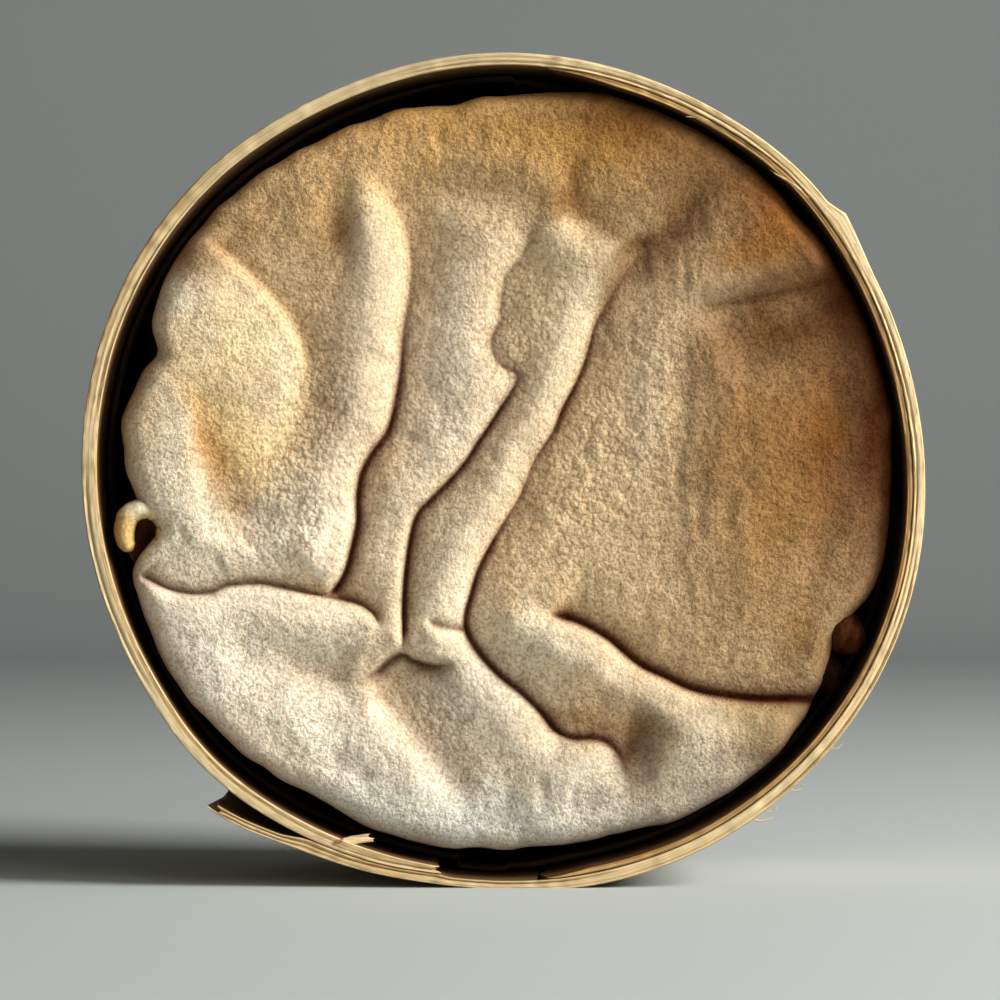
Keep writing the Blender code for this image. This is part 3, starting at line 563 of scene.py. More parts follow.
# Fields of colour, one laid over another: x, z, half width, half height, turn in degrees, colour,
# share. Some are painted shade and some painted highlight, as marked above them
stains = [
    (2.0, 48.5, 36.0, 8.0, 0, "b98a3c", 0.8),
    (14.0, 41.0, 12.0, 8.0, 0, "ae7f35", 0.6),
    (-30.0, 37.0, 12.0, 9.0, 35, "c39b62", 0.45),
    (-45.5, 31.5, 3.6, 11.0, 40, "8e5f30", 0.6),
    # painted shade in the hollow left of the left ridge
    (-23.5, 34.0, 4.0, 8.0, 8, "a97f45", 0.6),
    (-37.0, 16.0, 7.5, 10.5, 0, "f8e2b0", 0.9),
    (-41.5, 5.0, 3.0, 9.0, 25, "eec07a", 0.8),
    (-46.5, 24.0, 4.0, 5.0, 35, "ece6d8", 0.7),
    (-25.5, 8.0, 4.6, 15.0, 4, "b0967a", 0.75),
    (-49.0, 2.0, 4.0, 14.0, 5, "ebe0c6", 0.6),
    (-38.0, -9.0, 17.0, 7.0, 0, "fbf2de", 0.9),
    (-8.0, 14.0, 7.0, 20.0, -15, "f5e8d2", 0.8),
    # painted highlight on the lip below the lower left crease
    (-38.0, -18.4, 8.0, 2.8, -4, "fff6e2", 0.8),
    # warm beige laid over a flank in shade: painted light
    (2.5, 22.0, 3.6, 7.0, 0, "e2c8a0", 0.7),
    # warm beige laid over a flank in shade: painted light
    (9.0, 26.0, 7.0, 9.0, -10, "f6e0b8", 0.85),
    (0.0, -32.0, 5.0, 10.0, 42, "f8eed8", 0.85),
    (5.0, -25.0, 7.0, 4.6, -38, "fbf0d8", 0.85),
    (-8.0, -12.0, 5.0, 9.0, -10, "e6d9c0", 0.6),
    # painted shade: the dark band right of the long right crease near its top
    (20.8, 32.2, 3.3, 12.0, -33, "44220a", 0.88),
    # painted shade right of the long right crease
    (17.0, 27.0, 3.0, 6.0, -33, "6e4622", 0.6),
    # painted shade along the short upper fold
    (9.0, 38.2, 7.0, 2.2, -22, "8a6636", 0.5),
    # painted shade along the short upper fold
    (13.8, 35.4, 6.5, 1.9, -33, "7c5a30", 0.6),
    (10.7, 41.5, 2.4, 4.2, -10, "85561f", 0.6),
    # brown, partly the rind's colour, partly painted shadow of the case's rim
    (19.0, 49.5, 13.0, 5.0, -18, "7c4c10", 0.7),
    # painted highlight on the lit flank at the top of the left ridge
    (-20.6, 38.4, 2.6, 4.4, 25, "f6e2b8", 0.75),
    # yellow-orange, partly the rind's colour, partly painted highlight
    (-37.4, 4.8, 3.4, 5.6, 20, "ffe0a6", 0.85),
    # painted shade below the left bulge
    (-38.0, -4.4, 3.0, 3.2, 0, "b39264", 0.5),
    # painted highlight on a cushion
    (1.4, -21.5, 3.6, 3.0, 0, "f8ecd2", 0.7),
    (35.0, 8.6, 7.0, 8.0, 0, "8a5f28", 0.5),
    (42.4, -24.0, 5.0, 6.0, 0, "8c6636", 0.65),
    # brown at the upper right, partly the rind's colour, partly painted shadow of the case's rim
    (39.0, 37.0, 14.0, 11.0, -40, "804703", 0.9),
    (46.0, 4.0, 9.0, 24.0, 0, "804a04", 0.9),
    (36.0, -6.0, 8.0, 17.0, 0, "9c6f2c", 0.75),
    (30.0, 17.0, 6.0, 6.0, 0, "9c7f60", 0.6),
    # painted shade under the fold across the upper right
    (39.0, 20.0, 12.0, 5.0, 12, "603408", 0.85),
    (24.0, 4.0, 8.0, 20.0, 0, "c6ac8c", 0.5),
    # painted shade beside a streak ridge
    (28.6, 3.0, 3.2, 14.0, -3, "97795a", 0.6),
    # painted highlight on a streak ridge
    (20.6, 9.0, 2.6, 12.0, -3, "e6d3b6", 0.6),
    (28.0, 29.5, 5.0, 3.4, 20, "d2b48c", 0.7),
    # dark brown at the right edge, partly the rind's colour, partly painted shadow of the case's rim
    (54.0, 6.0, 5.4, 32.0, 0, "5a2400", 0.95),
    (35.0, 30.5, 10.0, 4.6, 12, "a06e2a", 0.7),
    # dark brown at the upper right edge, partly the rind's colour, partly painted shadow of the case's rim
    (50.0, 25.0, 5.0, 14.0, 25, "522200", 0.9),
    (-44.0, -27.0, 10.0, 14.0, 35, "f8f3e8", 0.85),
    (-25.0, -38.0, 17.0, 8.0, -35, "fdf8ea", 0.9),
    (-28.0, -24.0, 11.0, 5.0, -6, "fbf2de", 0.9),
    (-5.0, -49.0, 34.0, 7.0, 0, "dde0dc", 0.9),
    (-7.0, -34.5, 8.5, 6.5, 30, "a1978a", 0.85),
    (12.0, -44.0, 6.0, 4.0, 0, "d6d1c0", 0.7),
    # painted shade in the valley at the bottom
    (18.8, -41.2, 2.7, 7.4, 5, "4c2c14", 0.9),
    # painted shade at the top of that valley
    (19.4, -35.6, 5.0, 2.6, -12, "8c6f48", 0.6),
    # painted shade above the crease at the bottom
    (11.0, -36.8, 5.5, 2.2, 0, "9a7448", 0.7),
    # painted shade below the lower right crease
    (38.0, -34.8, 9.0, 2.0, -3, "5a3416", 0.8),
    # painted shade below the lower right crease's end
    (43.0, -36.4, 4.0, 4.0, 0, "5c4436", 0.8),
    (37.0, -39.0, 5.0, 2.8, 35, "6a5446", 0.6),
    (8.0, -19.8, 2.6, 2.0, 0, "b08f60", 0.5),
    # painted shade above the lobe, along the short upper fold
    (7.6, 36.2, 3.0, 2.4, -25, "8e7048", 0.7),
    (34.0, -35.4, 8.0, 4.0, 0, "8a6e4e", 0.45),
    (34.0, 6.0, 8.0, 11.0, 0, "86602e", 0.4),
    (31.0, -19.0, 6.0, 7.0, 0, "94744a", 0.4),
    (13.0, -26.5, 4.0, 2.4, -35, "bfa277", 0.45),
    (-2.6, -38.6, 3.0, 5.4, 35, "f6ecd6", 0.7),
    # darker near the top edge: painted shadow of the case's rim
    (13.5, 52.5, 8.0, 3.4, -14, "6a3e10", 0.65),
    (27.0, -40.4, 5.0, 5.6, 0, "f6ecd6", 0.85),
    # painted shade below the lower right crease's end
    (39.0, -36.8, 4.6, 4.6, 35, "6a5140", 0.75),
    (36.0, -36.0, 9.0, 3.4, -8, "c9b07e", 0.6),
    (30.0, -46.5, 9.0, 3.4, 20, "b5aca2", 0.7),
    # pale cream along a ridge, partly the rind's colour, partly painted highlight
    (-46.0, -1.5, 2.6, 11.5, 8, "f6ecd4", 0.8),
    # pale cream along a ridge, partly the rind's colour, partly painted highlight
    (-41.5, -11.5, 2.4, 4.6, 40, "f6ecd4", 0.7),
    # ochre in the valley, partly the rind's colour, partly painted shade
    (-42.8, 3.2, 1.7, 7.0, 16, "c08c46", 0.6),
    (-37.4, -6.4, 2.8, 5.4, 28, "a5855c", 0.6),
    # paler strip just above the lower left crease: painted highlight
    (-31.5, -14.6, 8.0, 1.8, -4, "fdf0d2", 0.8),
    (-43.6, 16.0, 3.0, 6.0, 5, "f8e6bc", 0.7),
    (-38.5, 35.5, 3.2, 6.0, -45, "7c5428", 0.5),
    (-15.0, -19.0, 2.0, 5.0, 0, "f6e9cc", 0.7),
    (-7.0, -19.6, 3.6, 5.0, -10, "f8ecd2", 0.7),
    (13.6, -18.4, 4.0, 4.0, 0, "e8d4ae", 0.5),
    (-3.6, 26.5, 2.4, 11.0, -4, "b8986c", 0.6),
    (31.0, 4.0, 2.4, 12.0, 0, "8a6238", 0.45),
    # painted shade on the top of the long right crease's lip
    (15.4, 29.0, 4.0, 5.0, -35, "a88f68", 0.5),
]

# Where the rind is pebbled like leather, and where it is drawn into streaks: x, z, half width,
# half height, turn in degrees, share
leatherPatches = [
    (-26.0, 7.0, 6.0, 17.0, 5, 1.0), (-32.0, -6.0, 7.0, 9.0, 20, 0.9), (2.5, 21.0, 5.0, 9.0, 0, 0.7),
    (-7.0, -34.0, 9.0, 6.0, 30, 0.7), (13.0, 2.0, 8.0, 17.0, -22, 0.9), (-9.0, 16.0, 5.0, 16.0, -10, 0.5),
]
streakPatches = [
    (28.0, 4.0, 8.0, 22.0, 0, 1.0), (26.0, -22.0, 14.0, 6.0, -10, 0.6), (26.0, 26.0, 8.0, 6.0, -20, 0.8),
    (-11.0, 47.0, 10.0, 4.0, 0, 0.9),
]


def distanceToLine(x, z, line):
    # distance, positive on the right hand, the place along the line, and the step onto it
    best = np.full(x.shape, 1e9)
    signed, along = np.zeros(x.shape), np.zeros(x.shape)
    stepX, stepZ = np.zeros(x.shape), np.zeros(x.shape)
    lengths = np.hypot(*np.diff(line, axis=0).T)
    before = 0.0
    for start, end, length in zip(line, line[1:], lengths):
        tx, tz = (end - start) / length
        dx, dz = x - start[0], z - start[1]
        t = np.clip(dx * tx + dz * tz, 0.0, length)
        away = np.hypot(dx - t * tx, dz - t * tz)
        nearer = away < best
        best = np.where(nearer, away, best)
        signed = np.where(nearer, away * np.where(dx * tz - dz * tx >= 0.0, 1.0, -1.0), signed)
        along = np.where(nearer, (before + t) / lengths.sum(), along)
        stepX = np.where(nearer, t * tx - dx, stepX)
        stepZ = np.where(nearer, t * tz - dz, stepZ)
        before += length
    return signed, along, stepX, stepZ


def foldShape(x, z, fold):
    # height of one fold, sideways lean of its lip, share of painted shade along its crease, distance
    # from where it is sharp, and how high on its lip a place is
    points, lip, lipWidth, lipReach, crease, spread, lean, dark, widths, softness, fade = fold
    away, along, stepX, stepZ = distanceToLine(x, z, throughPoints(points, 4))
    ends = smoothStep(along / fade[0]) * smoothStep((1.0 - along) / fade[1])
    wide = np.interp(along, np.linspace(0.0, 1.0, len(widths)), widths) * (0.4 + 0.6 * ends)
    soft = np.interp(along, np.linspace(0.0, 1.0, len(softness)), softness)
    far = np.sqrt(away ** 2 + soft ** 2) - soft
    rise = np.sin(np.clip(far / (lipWidth * wide), 0.0, 1.0) * math.pi / 2) ** 0.9
    beyond = bell(np.maximum(far - lipWidth * wide, 0.0), lipReach * wide)
    highSide = -crease * (1.0 - rise) + lip * rise * beyond
    lowSide = -crease * np.exp(-(far / (spread * wide)) ** 1.1)
    height = np.where(away > 0.0, highSide, lowSide) * ends
    slit = dark * ends * (1.0 - smoothStep(soft / 1.7))
    height = height - 0.45 * slit * bell(away - 0.1, 0.5)
    size = np.maximum(np.hypot(stepX, stepZ), 1e-6)
    lipShare = np.sin(np.clip(away / (lipWidth * wide), 0.0, 1.0) * math.pi) ** 0.7 * ends * lean
    pushX, pushZ = stepX / size * lipShare, stepZ / size * lipShare
    # painted shade along the crease, wider on its low side
    creaseShadeShare = slit * np.where(away > 0.0, bell(away, 0.5), bell(away, 0.8))
    creaseShadeShare = creaseShadeShare + 0.42 * slit * np.where(away > 0.0, bell(away, 0.9), bell(away, 2.1))
    sharpAway = np.abs(away) + 9.0 * smoothStep((soft - 0.3) / 0.8) + 9.0 * smoothStep(1.0 - ends / 0.4)
    upThere = rise * bell(np.maximum(far - lipWidth * wide, 0.0), 0.6 * lipReach * wide)
    onLip = np.where(away > 0.0, upThere * ends * lip / 1.8, 0.0)
    return height, pushX, pushZ, creaseShadeShare, sharpAway, onLip


def bumpAt(x, z, middleX, middleZ, halfX, halfZ, turn):
    # a soft oval patch, 1 in its middle
    angle = math.radians(turn)
    dx, dz = x - middleX, z - middleZ
    across = dx * math.cos(angle) + dz * math.sin(angle)
    up = dz * math.cos(angle) - dx * math.sin(angle)
    return np.exp(-(across / halfX) ** 2 - (up / halfZ) ** 2)


def addPatches(values, x, z, patches):
    for *place, size in patches:
        values = values + size * bumpAt(x, z, *place)
    return values


def edgeRadius(degrees):
    turned = degrees % 360.0
    table = np.array(rind["edgeRadius"])
    spacing = 360.0 / len(table)
    k = (turned // spacing).astype(int)
    t = turned / spacing - k
    a, b, c, d = (table[(k + offset) % len(table)] for offset in (-1, 0, 1, 2))
    radius = splineAt(a, b, c, d, t)
    for middle, change, width in rind["edgeLocal"]:
        radius = radius + change * bell(turnedTo(turned, middle), width)
    ripple = noise(np.cos(np.radians(turned)) * 55.0, np.sin(np.radians(turned)) * 55.0, 4.0, 5)
    radius = radius + 0.28 * ripple
    return np.minimum(radius, clearAt(turned) - 0.6)


def discGrid(count):
    # a square grid squeezed onto a disc: fraction of the radius, and angle in degrees
    line = np.linspace(-1.0, 1.0, count + 1)
    u, v = np.meshgrid(line, line, indexing="ij")
    wide = np.abs(u) > np.abs(v)
    safeU, safeV = np.where(u == 0.0, 1.0, u), np.where(v == 0.0, 1.0, v)
    angleWide = math.pi / 4 * v / safeU + np.where(u < 0.0, math.pi, 0.0)
    angleTall = math.pi / 2 - math.pi / 4 * u / safeV + np.where(v < 0.0, math.pi, 0.0)
    return np.maximum(np.abs(u), np.abs(v)), np.degrees(np.where(wide, angleWide, angleTall))


def leatherShare(x, z):
    return np.clip(addPatches(np.zeros(np.shape(x)), x, z, leatherPatches), 0.0, 1.0)


def mouldRelief(x, z):
    # the velvety mould's fine grain, coarser and more wrinkled in the hollows
    turnedX, turnedZ = 0.8 * x + 0.6 * z, 0.8 * z - 0.6 * x
    grain = 0.08 * noise(x, z, 1.0, 31) + 0.07 * noise(turnedX, turnedZ, 0.8, 32)
    lumps = 0.06 * layered(x, z, 3.6, 33, 2)
    pebbles = noise(turnedX * 0.8, turnedZ * 1.15, 1.0, 34)
    wandering = x + 0.8 * noise(x, z, 7.0, 38)
    streak = noise(wandering, z * 0.22, 1.3, 35)
    streakShare = addPatches(np.zeros(np.shape(x)), x, z, streakPatches)
    waves = 0.20 * layered(x, z, 9.0, 36, 2)
    return grain + lumps + waves + 0.13 * pebbles * leatherShare(x, z) + 0.16 * streak * streakShare


def averaged(values, passes):
    # each point of the grid drawn towards its four neighbours, again and again
    for _ in range(passes):
        wider = np.pad(values, 1, mode="edge")
        around = wider[:-2, 1:-1] + wider[2:, 1:-1] + wider[1:-1, :-2] + wider[1:-1, 2:]
        values = around / 8.0 + values / 2.0
    return values


def faceShape(x, z):
    # height of the face in front of its mean plane, sideways lean, the painted shade along creases,
    # where the lips are, and the painted shade in hollows
    height = -1.0 + 1.3 * (np.hypot(x, z) / 50.0) ** 2
    pushX, pushZ = np.zeros(x.shape), np.zeros(x.shape)
    creaseShade, lips = np.zeros(x.shape), np.zeros(x.shape)
    nearest = np.full(x.shape, 1e9)
    for fold in folds.values():
        added, moveX, moveZ, creaseShadeShare, away, onLip = foldShape(x, z, fold)
        height = height + added
        pushX, pushZ = pushX + moveX, pushZ + moveZ
        creaseShade = np.maximum(creaseShade, creaseShadeShare)
        lips = np.maximum(lips, onLip)
        nearest = np.minimum(nearest, away)
    # averaged away from the sharp creases, so that no line shows where two parts meet
    share = smoothStep((nearest - 0.9) / 2.6)
    height = height * (1.0 - share) + averaged(height, rind["softenPasses"]) * share
    height = addPatches(height, x, z, swellings)
    # what rises nearly to the case's rim is pressed back
    top = rind["recess"] - 0.9
    height = np.where(height > top, top + 0.6 * np.tanh((height - top) / 0.9), height)
    hollowShade = averaged(height, 110) - height
    return height, pushX, pushZ, creaseShade, np.clip(lips, 0.0, 1.0), hollowShade


def mixed(colours, colour, share):
    share = np.clip(share, 0.0, 1.0)[..., None]
    return colours * (1.0 - share) + fromHex(colour) * share


def rindColours(x, z, creaseShade, lips, hollowShade, roll):
    def laid(colours, kind, share):
        colour, strength = rind[kind]
        return mixed(colours, colour, strength * share)

    colours = np.ones(x.shape + (3,)) * fromHex(rind["colour"])
    patchy = 0.75 + 0.25 * noise(x, z, 5.0, 54)
    colours = laid(colours, "rolledEdge", smoothStep((roll - 0.2) / 0.6) * patchy)
    wander = 1.6 * layered(x, z, 6.0, 51)
    for *place, colour, share in stains:
        colours = mixed(colours, colour, share * bumpAt(x + wander, z - wander, *place))
    paleness = smoothStep((colours.mean(axis=-1) - 0.2) / 0.3)
    # paler on the raised lips: partly the rind's paler mould, partly painted highlight
    colours = laid(colours, "lips", lips * paleness)
    # darker and browner in the hollows: painted shade
    colours = laid(colours, "hollowShade", np.clip(hollowShade, 0.0, 1.8))
    speck = 1.0 + 0.08 * noise(x, z, 0.8, 52) + 0.09 * layered(x, z, 3.0, 53)
    colours = colours * speck[..., None]
    # darker at the very edge, where the face turns into the gap: painted shade
    colours = laid(colours, "edgeShade", smoothStep((roll - 0.75) / 0.25))
    # dark red-brown along the creases: painted shade
    return laid(colours, "creaseShade", np.minimum(creaseShade, 1.0))


def makeRindMaterial():
    m = Nodes("rind")
    frost, leather = m.attribute("frost", "Fac"), m.attribute("leather", "Fac")
    place = m.add("ShaderNodeTexCoord").outputs["Object"]
    wobble = m.add("ShaderNodeTexNoise")
    m.feed(wobble.inputs["Vector"], place)
    wobble.inputs["Scale"].default_value = rindGrain["wobbleScale"]
    cells = m.add("ShaderNodeTexVoronoi", {"feature": "F1"})
    m.feed(cells.inputs["Vector"], m.bent(place, wobble.outputs["Color"], (rindGrain["wobble"],) * 3))
    cells.inputs["Scale"].default_value = rindGrain["pebbleScale"]
    beads = m.number("SUBTRACT", 0.55, cells.outputs["Distance"])
    pebbles = m.number("MULTIPLY", beads, m.number("MULTIPLY_ADD", leather, 0.8, 0.3))
    fine = m.noiseValue(place, rindGrain["fineScale"], 3.0, 0.65)
    height = m.number("ADD", pebbles, fine)
    # the hollows of the grain are darker and its tops paler
    shade = m.number("MULTIPLY_ADD", fine, 0.75, m.number("MULTIPLY_ADD", leather, 0.05, 0.02))
    shade = m.number("MULTIPLY_ADD", pebbles, 0.34, shade)
    tint = m.mixColour(frost, (1.0, 1.0, 1.0, 1.0), m.ramp(shade, rindGrain["tints"]))
    colour = m.mixColour(1.0, m.attribute("rindColour"), tint, "MULTIPLY")
    normal = m.bump(m.number("MULTIPLY", height, frost), 1.0)
    return m.surface(colour, rindGrain["roughness"], rindGrain["specular"], normal)


def gridFaces(count, index):
    i, j = np.meshgrid(np.arange(count), np.arange(count), indexing="ij")
    quads = np.stack([index[i, j], index[i + 1, j], index[i + 1, j + 1], index[i, j + 1]], -1)
    return quads.reshape(-1, 4).tolist()


def borderOf(index):
    return np.concatenate([index[-1, :-1], index[:0:-1, -1], index[0, :0:-1], index[:-1, 0]])


def cheeseFace(count):
    # the wrinkled front and its rolled edge: x, depth and z of each point, its colour, and how
    # much of the fine grain shows there
    fraction, angles = discGrid(count)
    edge = edgeRadius(angles)
    rollSize = rind["edgeRoll"]
    flatPart = 1.0 - rollSize * 1.35 / edge
    roll = np.clip((fraction - flatPart) / (1.0 - flatPart), 0.0, 1.0)
    bend = roll * math.pi / 2
    onFlat = fraction / flatPart * (edge - rollSize)
    radius = np.where(roll > 0.0, edge - rollSize + rollSize * np.sin(bend), onFlat)
    x, z = radius * np.cos(np.radians(angles)), radius * np.sin(np.radians(angles))
    height, pushX, pushZ, creaseShade, lips, hollowShade = faceShape(x, z)
    fade = 0.2 + 0.8 * np.cos(bend)
    height = (height + mouldRelief(x, z) * (1.0 - 0.5 * lips)) * fade
    height = np.minimum(height, rind["recess"] - 0.3)
    depth = -case["halfDepth"] + rind["recess"] + rollSize * (1.0 - np.cos(bend)) - height
    x, z = x + pushX * fade, z + pushZ * fade
    colours = rindColours(x, z, creaseShade, lips, hollowShade, roll)
    return x, depth, z, colours, (1.0 - 0.65 * lips ** 2) * (1.0 - 0.5 * roll)


def cheeseSide(x, rimDepth, z, back):
    # rings of points that lead from the face's edge to the back, each with its colours
    angle, edge = np.degrees(np.arctan2(z, x)), np.hypot(x, z)
    backRadius = strapOuter(angle) - 1.4
    rings = []
    for level in (*rind["sideDepths"], back - 1.5, back):
        blend = smoothStep((level + 12.0) / 18.0)
        side = edge + (backRadius - edge) * blend
        side = side + 0.25 * noise(angle * 0.9, np.full(side.shape, level), 2.5, 71) * (level < 0)
        limit = clearAt(angle) - 0.4 if level < -13.0 else backRadius
        side = np.minimum(side, limit) - (1.5 if level == back else 0.0)
        depth = np.maximum(level, rimDepth + 0.1 * (level + 25.0)) if level < -12.5 else level
        depth = np.broadcast_to(depth, side.shape)
        shade = 1.0 + 0.12 * noise(angle, depth, 3.0, 72)
        points = [side * np.cos(np.radians(angle)), depth, side * np.sin(np.radians(angle))]
        rings.append((np.stack(points, -1), fromHex(rind["side"]) * shade[:, None]))
    return rings


def paintRind(piece, colours, frost, leather):
    # its colours, how much of the fine grain shows, and how far it is pebbled
    addColour(piece, "rindColour", colours)
    addNumber(piece, "frost", frost)
    addNumber(piece, "leather", leather)


def makeCheese(made):
    count = rind["grid"]
    x, depth, z, colours, frost = cheeseFace(count)
    index = np.arange((count + 1) ** 2).reshape(count + 1, count + 1)
    verts = [np.stack([x, depth, z], -1).reshape(-1, 3)]
    paints, frosts = [colours.reshape(-1, 3)], [frost.ravel()]
    faces = gridFaces(count, index)
    ring = borderOf(index)
    total = index.size
    back = case["halfDepth"] - case["boardThickness"] - case["boardInset"] - case["gap"]
    for points, paint in cheeseSide(x.ravel()[ring], depth.ravel()[ring], z.ravel()[ring], back):
        following = np.arange(total, total + len(ring))
        verts.append(points)
        paints.append(paint)
        frosts.append(np.full(len(ring), 0.5))
        faces += np.stack([ring, np.roll(ring, -1), np.roll(following, -1), following], -1).tolist()
        ring = following
        total += len(ring)
    verts.append(np.array([[0.0, back, 0.0]]))
    paints.append(plainColour(1, rind["back"]))
    frosts.append(np.array([0.5]))
    faces += [[int(a), int(b), total] for a, b in zip(ring, np.roll(ring, -1))]
    points = np.vstack(verts)
    piece = meshPiece("cheeseRind", points, faces, made)
    onFace = smoothStep((-18.0 - points[:, 1]) / 2.0)
    leather = leatherShare(points[:, 0], points[:, 2]) * onFace
    paintRind(piece, np.vstack(paints), np.concatenate(frosts), leather)
    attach(piece, "root")
    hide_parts("cheese")


curl = {
    "rim": [(-49.9, -7.1), (-50.6, -5.9), (-52.3, -5.6), (-53.8, -6.5), (-54.4, -8.4), (-54.2, -10.2),
            (-53.3, -11.5)],
    "rimSize": [0.8, 1.2, 1.5, 1.65, 1.55, 1.35, 0.9],
    "fold": [(-49.4, -7.9), (-49.3, -9.6), (-49.6, -11.2), (-50.4, -12.6), (-51.6, -13.4)],
    "foldSize": [0.5, 0.75, 0.85, 0.9, 0.6],
    "depth": 3.4,  # behind the rim of the case
    "cup": (-51.2, -9.8, 3.2, 4.4, 6.0),  # middle, half width, half height, depth
    "cupDish": 1.6,
    "cupThickness": 2.6,
    # behind is darkened with painted shade, on top is paled with painted highlight
    "colours": ("8f6334", "dcbf80", "efe6cf", "d3a862"),  # behind, in front, on top, at the left
    # the cup's dark browns are painted shade of the hollow
    "cupShadeColours": ("553018", "7d5228"),
}


def roundedTube(line, sizes, depth, flat, sides=20):
    # a soft tube through the points, deeper than it is wide
    points = throughPoints(line, 8)
    radii = np.interp(np.linspace(0, len(sizes) - 1, len(points)), np.arange(len(sizes)), sizes)
    shares = np.linspace(0.0, 1.0, len(points))
    radii = radii * np.sqrt(np.clip(np.minimum(shares, 1.0 - shares) / 0.06, 0.05, 1.0))
    tangent = np.gradient(points, axis=0)
    tangent /= np.linalg.norm(tangent, axis=1, keepdims=True)
    verts = []
    for point, way, radius in zip(points, tangent, radii):
        for k in range(sides):
            around = 2 * math.pi * k / sides
            out = radius * math.cos(around)
            verts.append((point[0] + way[1] * out, depth + flat * radius * math.sin(around),
                          point[1] - way[0] * out))
    faces = ringFaces(sides, len(points))
    faces.append(tuple(range(sides))[::-1])
    faces.append(tuple(range(len(verts) - sides, len(verts))))
    return np.array(verts), faces


def makeCurl(made):
    depth = -case["halfDepth"] + curl["depth"]
    behind, before, top, left = curl["colours"]
    for name, line, sizes, back in (("curlRim", curl["rim"], curl["rimSize"], 0.0),
                                    ("curlFold", curl["fold"], curl["foldSize"], 0.2)):
        verts, faces = roundedTube(line, sizes, depth + back, 1.7)
        x, z = verts[:, 0], verts[:, 2]
        push = 0.10 * noise(x, z, 1.3, 61) + 0.06 * noise(x, z, 0.7, 62)
        middle = np.array([np.mean(x), depth, np.mean(z)])
        verts = verts + (verts - middle) * (push / 4.0)[:, None]
        piece = meshPiece(name, verts, faces, made)
        front = smoothStep((depth - verts[:, 1]) / 1.5)
        # darker behind, where the curl reaches into the gap: painted shade
        colours = mixed(plainColour(len(verts), behind), before, front)
        # paler on top: painted highlight
        colours = mixed(colours, top, front * bumpAt(x, z, -52.0, -5.0, 2.6, 1.6, 0))
        colours = mixed(colours, left, 0.7 * front * bumpAt(x, z, -55.0, -9.0, 1.4, 3.0, 0))
        paintRind(piece, colours * (1.0 + 0.1 * noise(x, z, 0.7, 63))[:, None], 0.6, 0.0)
        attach(piece, "root")


def makeCurlCup(made):
    # the hollow that the curl closes round, painted dark as its shade
    middleX, middleZ, halfX, halfZ, behind = curl["cup"]
    rings, around = 10, 40
    front, dish = -case["halfDepth"] + behind, curl["cupDish"]
    verts, faces = [(middleX, front + dish, middleZ)], []
    for ring in range(1, rings + 1):
        share = ring / rings
        for k in range(around):
            angle = 2 * math.pi * k / around
            verts.append((middleX + halfX * share * math.cos(angle), front + dish * (1 - share ** 2),
                          middleZ + halfZ * share * math.sin(angle)))
    for ring in range(rings):
        for k in range(around):
            after = (k + 1) % around
            a, b = 1 + (ring - 1) * around, 1 + ring * around
            faces.append((0, b + k, b + after) if ring == 0 else (a + k, b + k, b + after, a + after))
    behindRim = 1 + (rings - 1) * around
    back = len(verts)
    for k in range(around):
        x, y, z = verts[behindRim + k]
        verts.append((x, y + curl["cupThickness"], z))
    faces += [(behindRim + k, back + k, back + (k + 1) % around, behindRim + (k + 1) % around)
              for k in range(around)]
    faces.append(tuple(range(back, back + around)))
    piece = meshPiece("curlCup", verts, faces, made)
    points = np.array(verts)
    dark, paler = curl["cupShadeColours"]
    share = bell(points[:, 2] + 6.8, 2.0) + 0.4 * noise(points[:, 0], points[:, 2], 1.0, 64)
    paintRind(piece, mixed(plainColour(len(verts), dark), paler, share), 0.8, 0.0)
    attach(piece, "root")


# Their colours are the rind's reddish brown darkened with painted shade of the deep gap
gapLumps = {  # angle, radius, depth behind the rim, half sizes across, deep and up, colour
    "gapKnob": (-25.5, 54.2, 6.2, (2.8, 3.8, 3.1), "4c2814"),
    "gapLump": (-32.0, 54.4, 8.0, (2.6, 3.4, 3.3), "2c170c"),
}


def makeGapLumps(made):
    # two lumps of rind that bulge into the gap at the right
    for name, (angle, radius, behind, halves, colour) in gapLumps.items():
        radius = min(radius, float(clearAt(angle)) - halves[0] - 0.1)
        turned = math.radians(angle)
        middle = np.array([radius * math.cos(turned), behind - case["halfDepth"], radius * math.sin(turned)])
        sphere = bmesh.new()
        bmesh.ops.create_icosphere(sphere, subdivisions=5, radius=1.0)
        ways = np.array([vert.co[:] for vert in sphere.verts])
        faces = [[vert.index for vert in face.verts] for face in sphere.faces]
        sphere.free()
        swell = 1.0 + 0.10 * noise(ways[:, 0] + 3.0, ways[:, 2] + ways[:, 1], 0.5, 66)
        swell = swell - 0.16 * bell(ways[:, 0] - 0.55 * ways[:, 2] - 0.2, 0.25) * (ways[:, 1] < 0.0)
        verts = middle + ways * np.array(halves) * swell[:, None]
        piece = meshPiece(name, verts, faces, made)
        # darker still towards the back: painted shade
        colours = mixed(plainColour(len(verts), colour), "2c1408", smoothStep(ways[:, 1] + 0.6))
        paintRind(piece, colours, 0.9, 0.3)
        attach(piece, "root")


rindMaterial = makeRindMaterial()
makeCurlCup(rindMaterial)
makeCheese(rindMaterial)
makeCurl(rindMaterial)
makeGapLumps(rindMaterial)
print("cheese made")

# Wood: grain runs along the strip, in a vector of (length along, depth, thickness)

wood = {
    "fresh": ("efe0bb", "c3a26c"),  # pale and dark lines of the case
    "inner": ("dcb87f", "a77c48"),
    "broadTint": "c79f63",
    "lineScale": (14.0, 1100.0, 2600.0),
    "broadScale": (18.0, 150.0, 260.0),
    # the inner side is near black: partly damp wood, partly painted shade of the gap
    "insideShadeTint": (0.16, 0.11, 0.07),
    # the outer side is darkened, partly its own tone, partly painted shade against the key lamp's glare
    "outsideToneAndShade": (0.80, 0.77, 0.72),
}


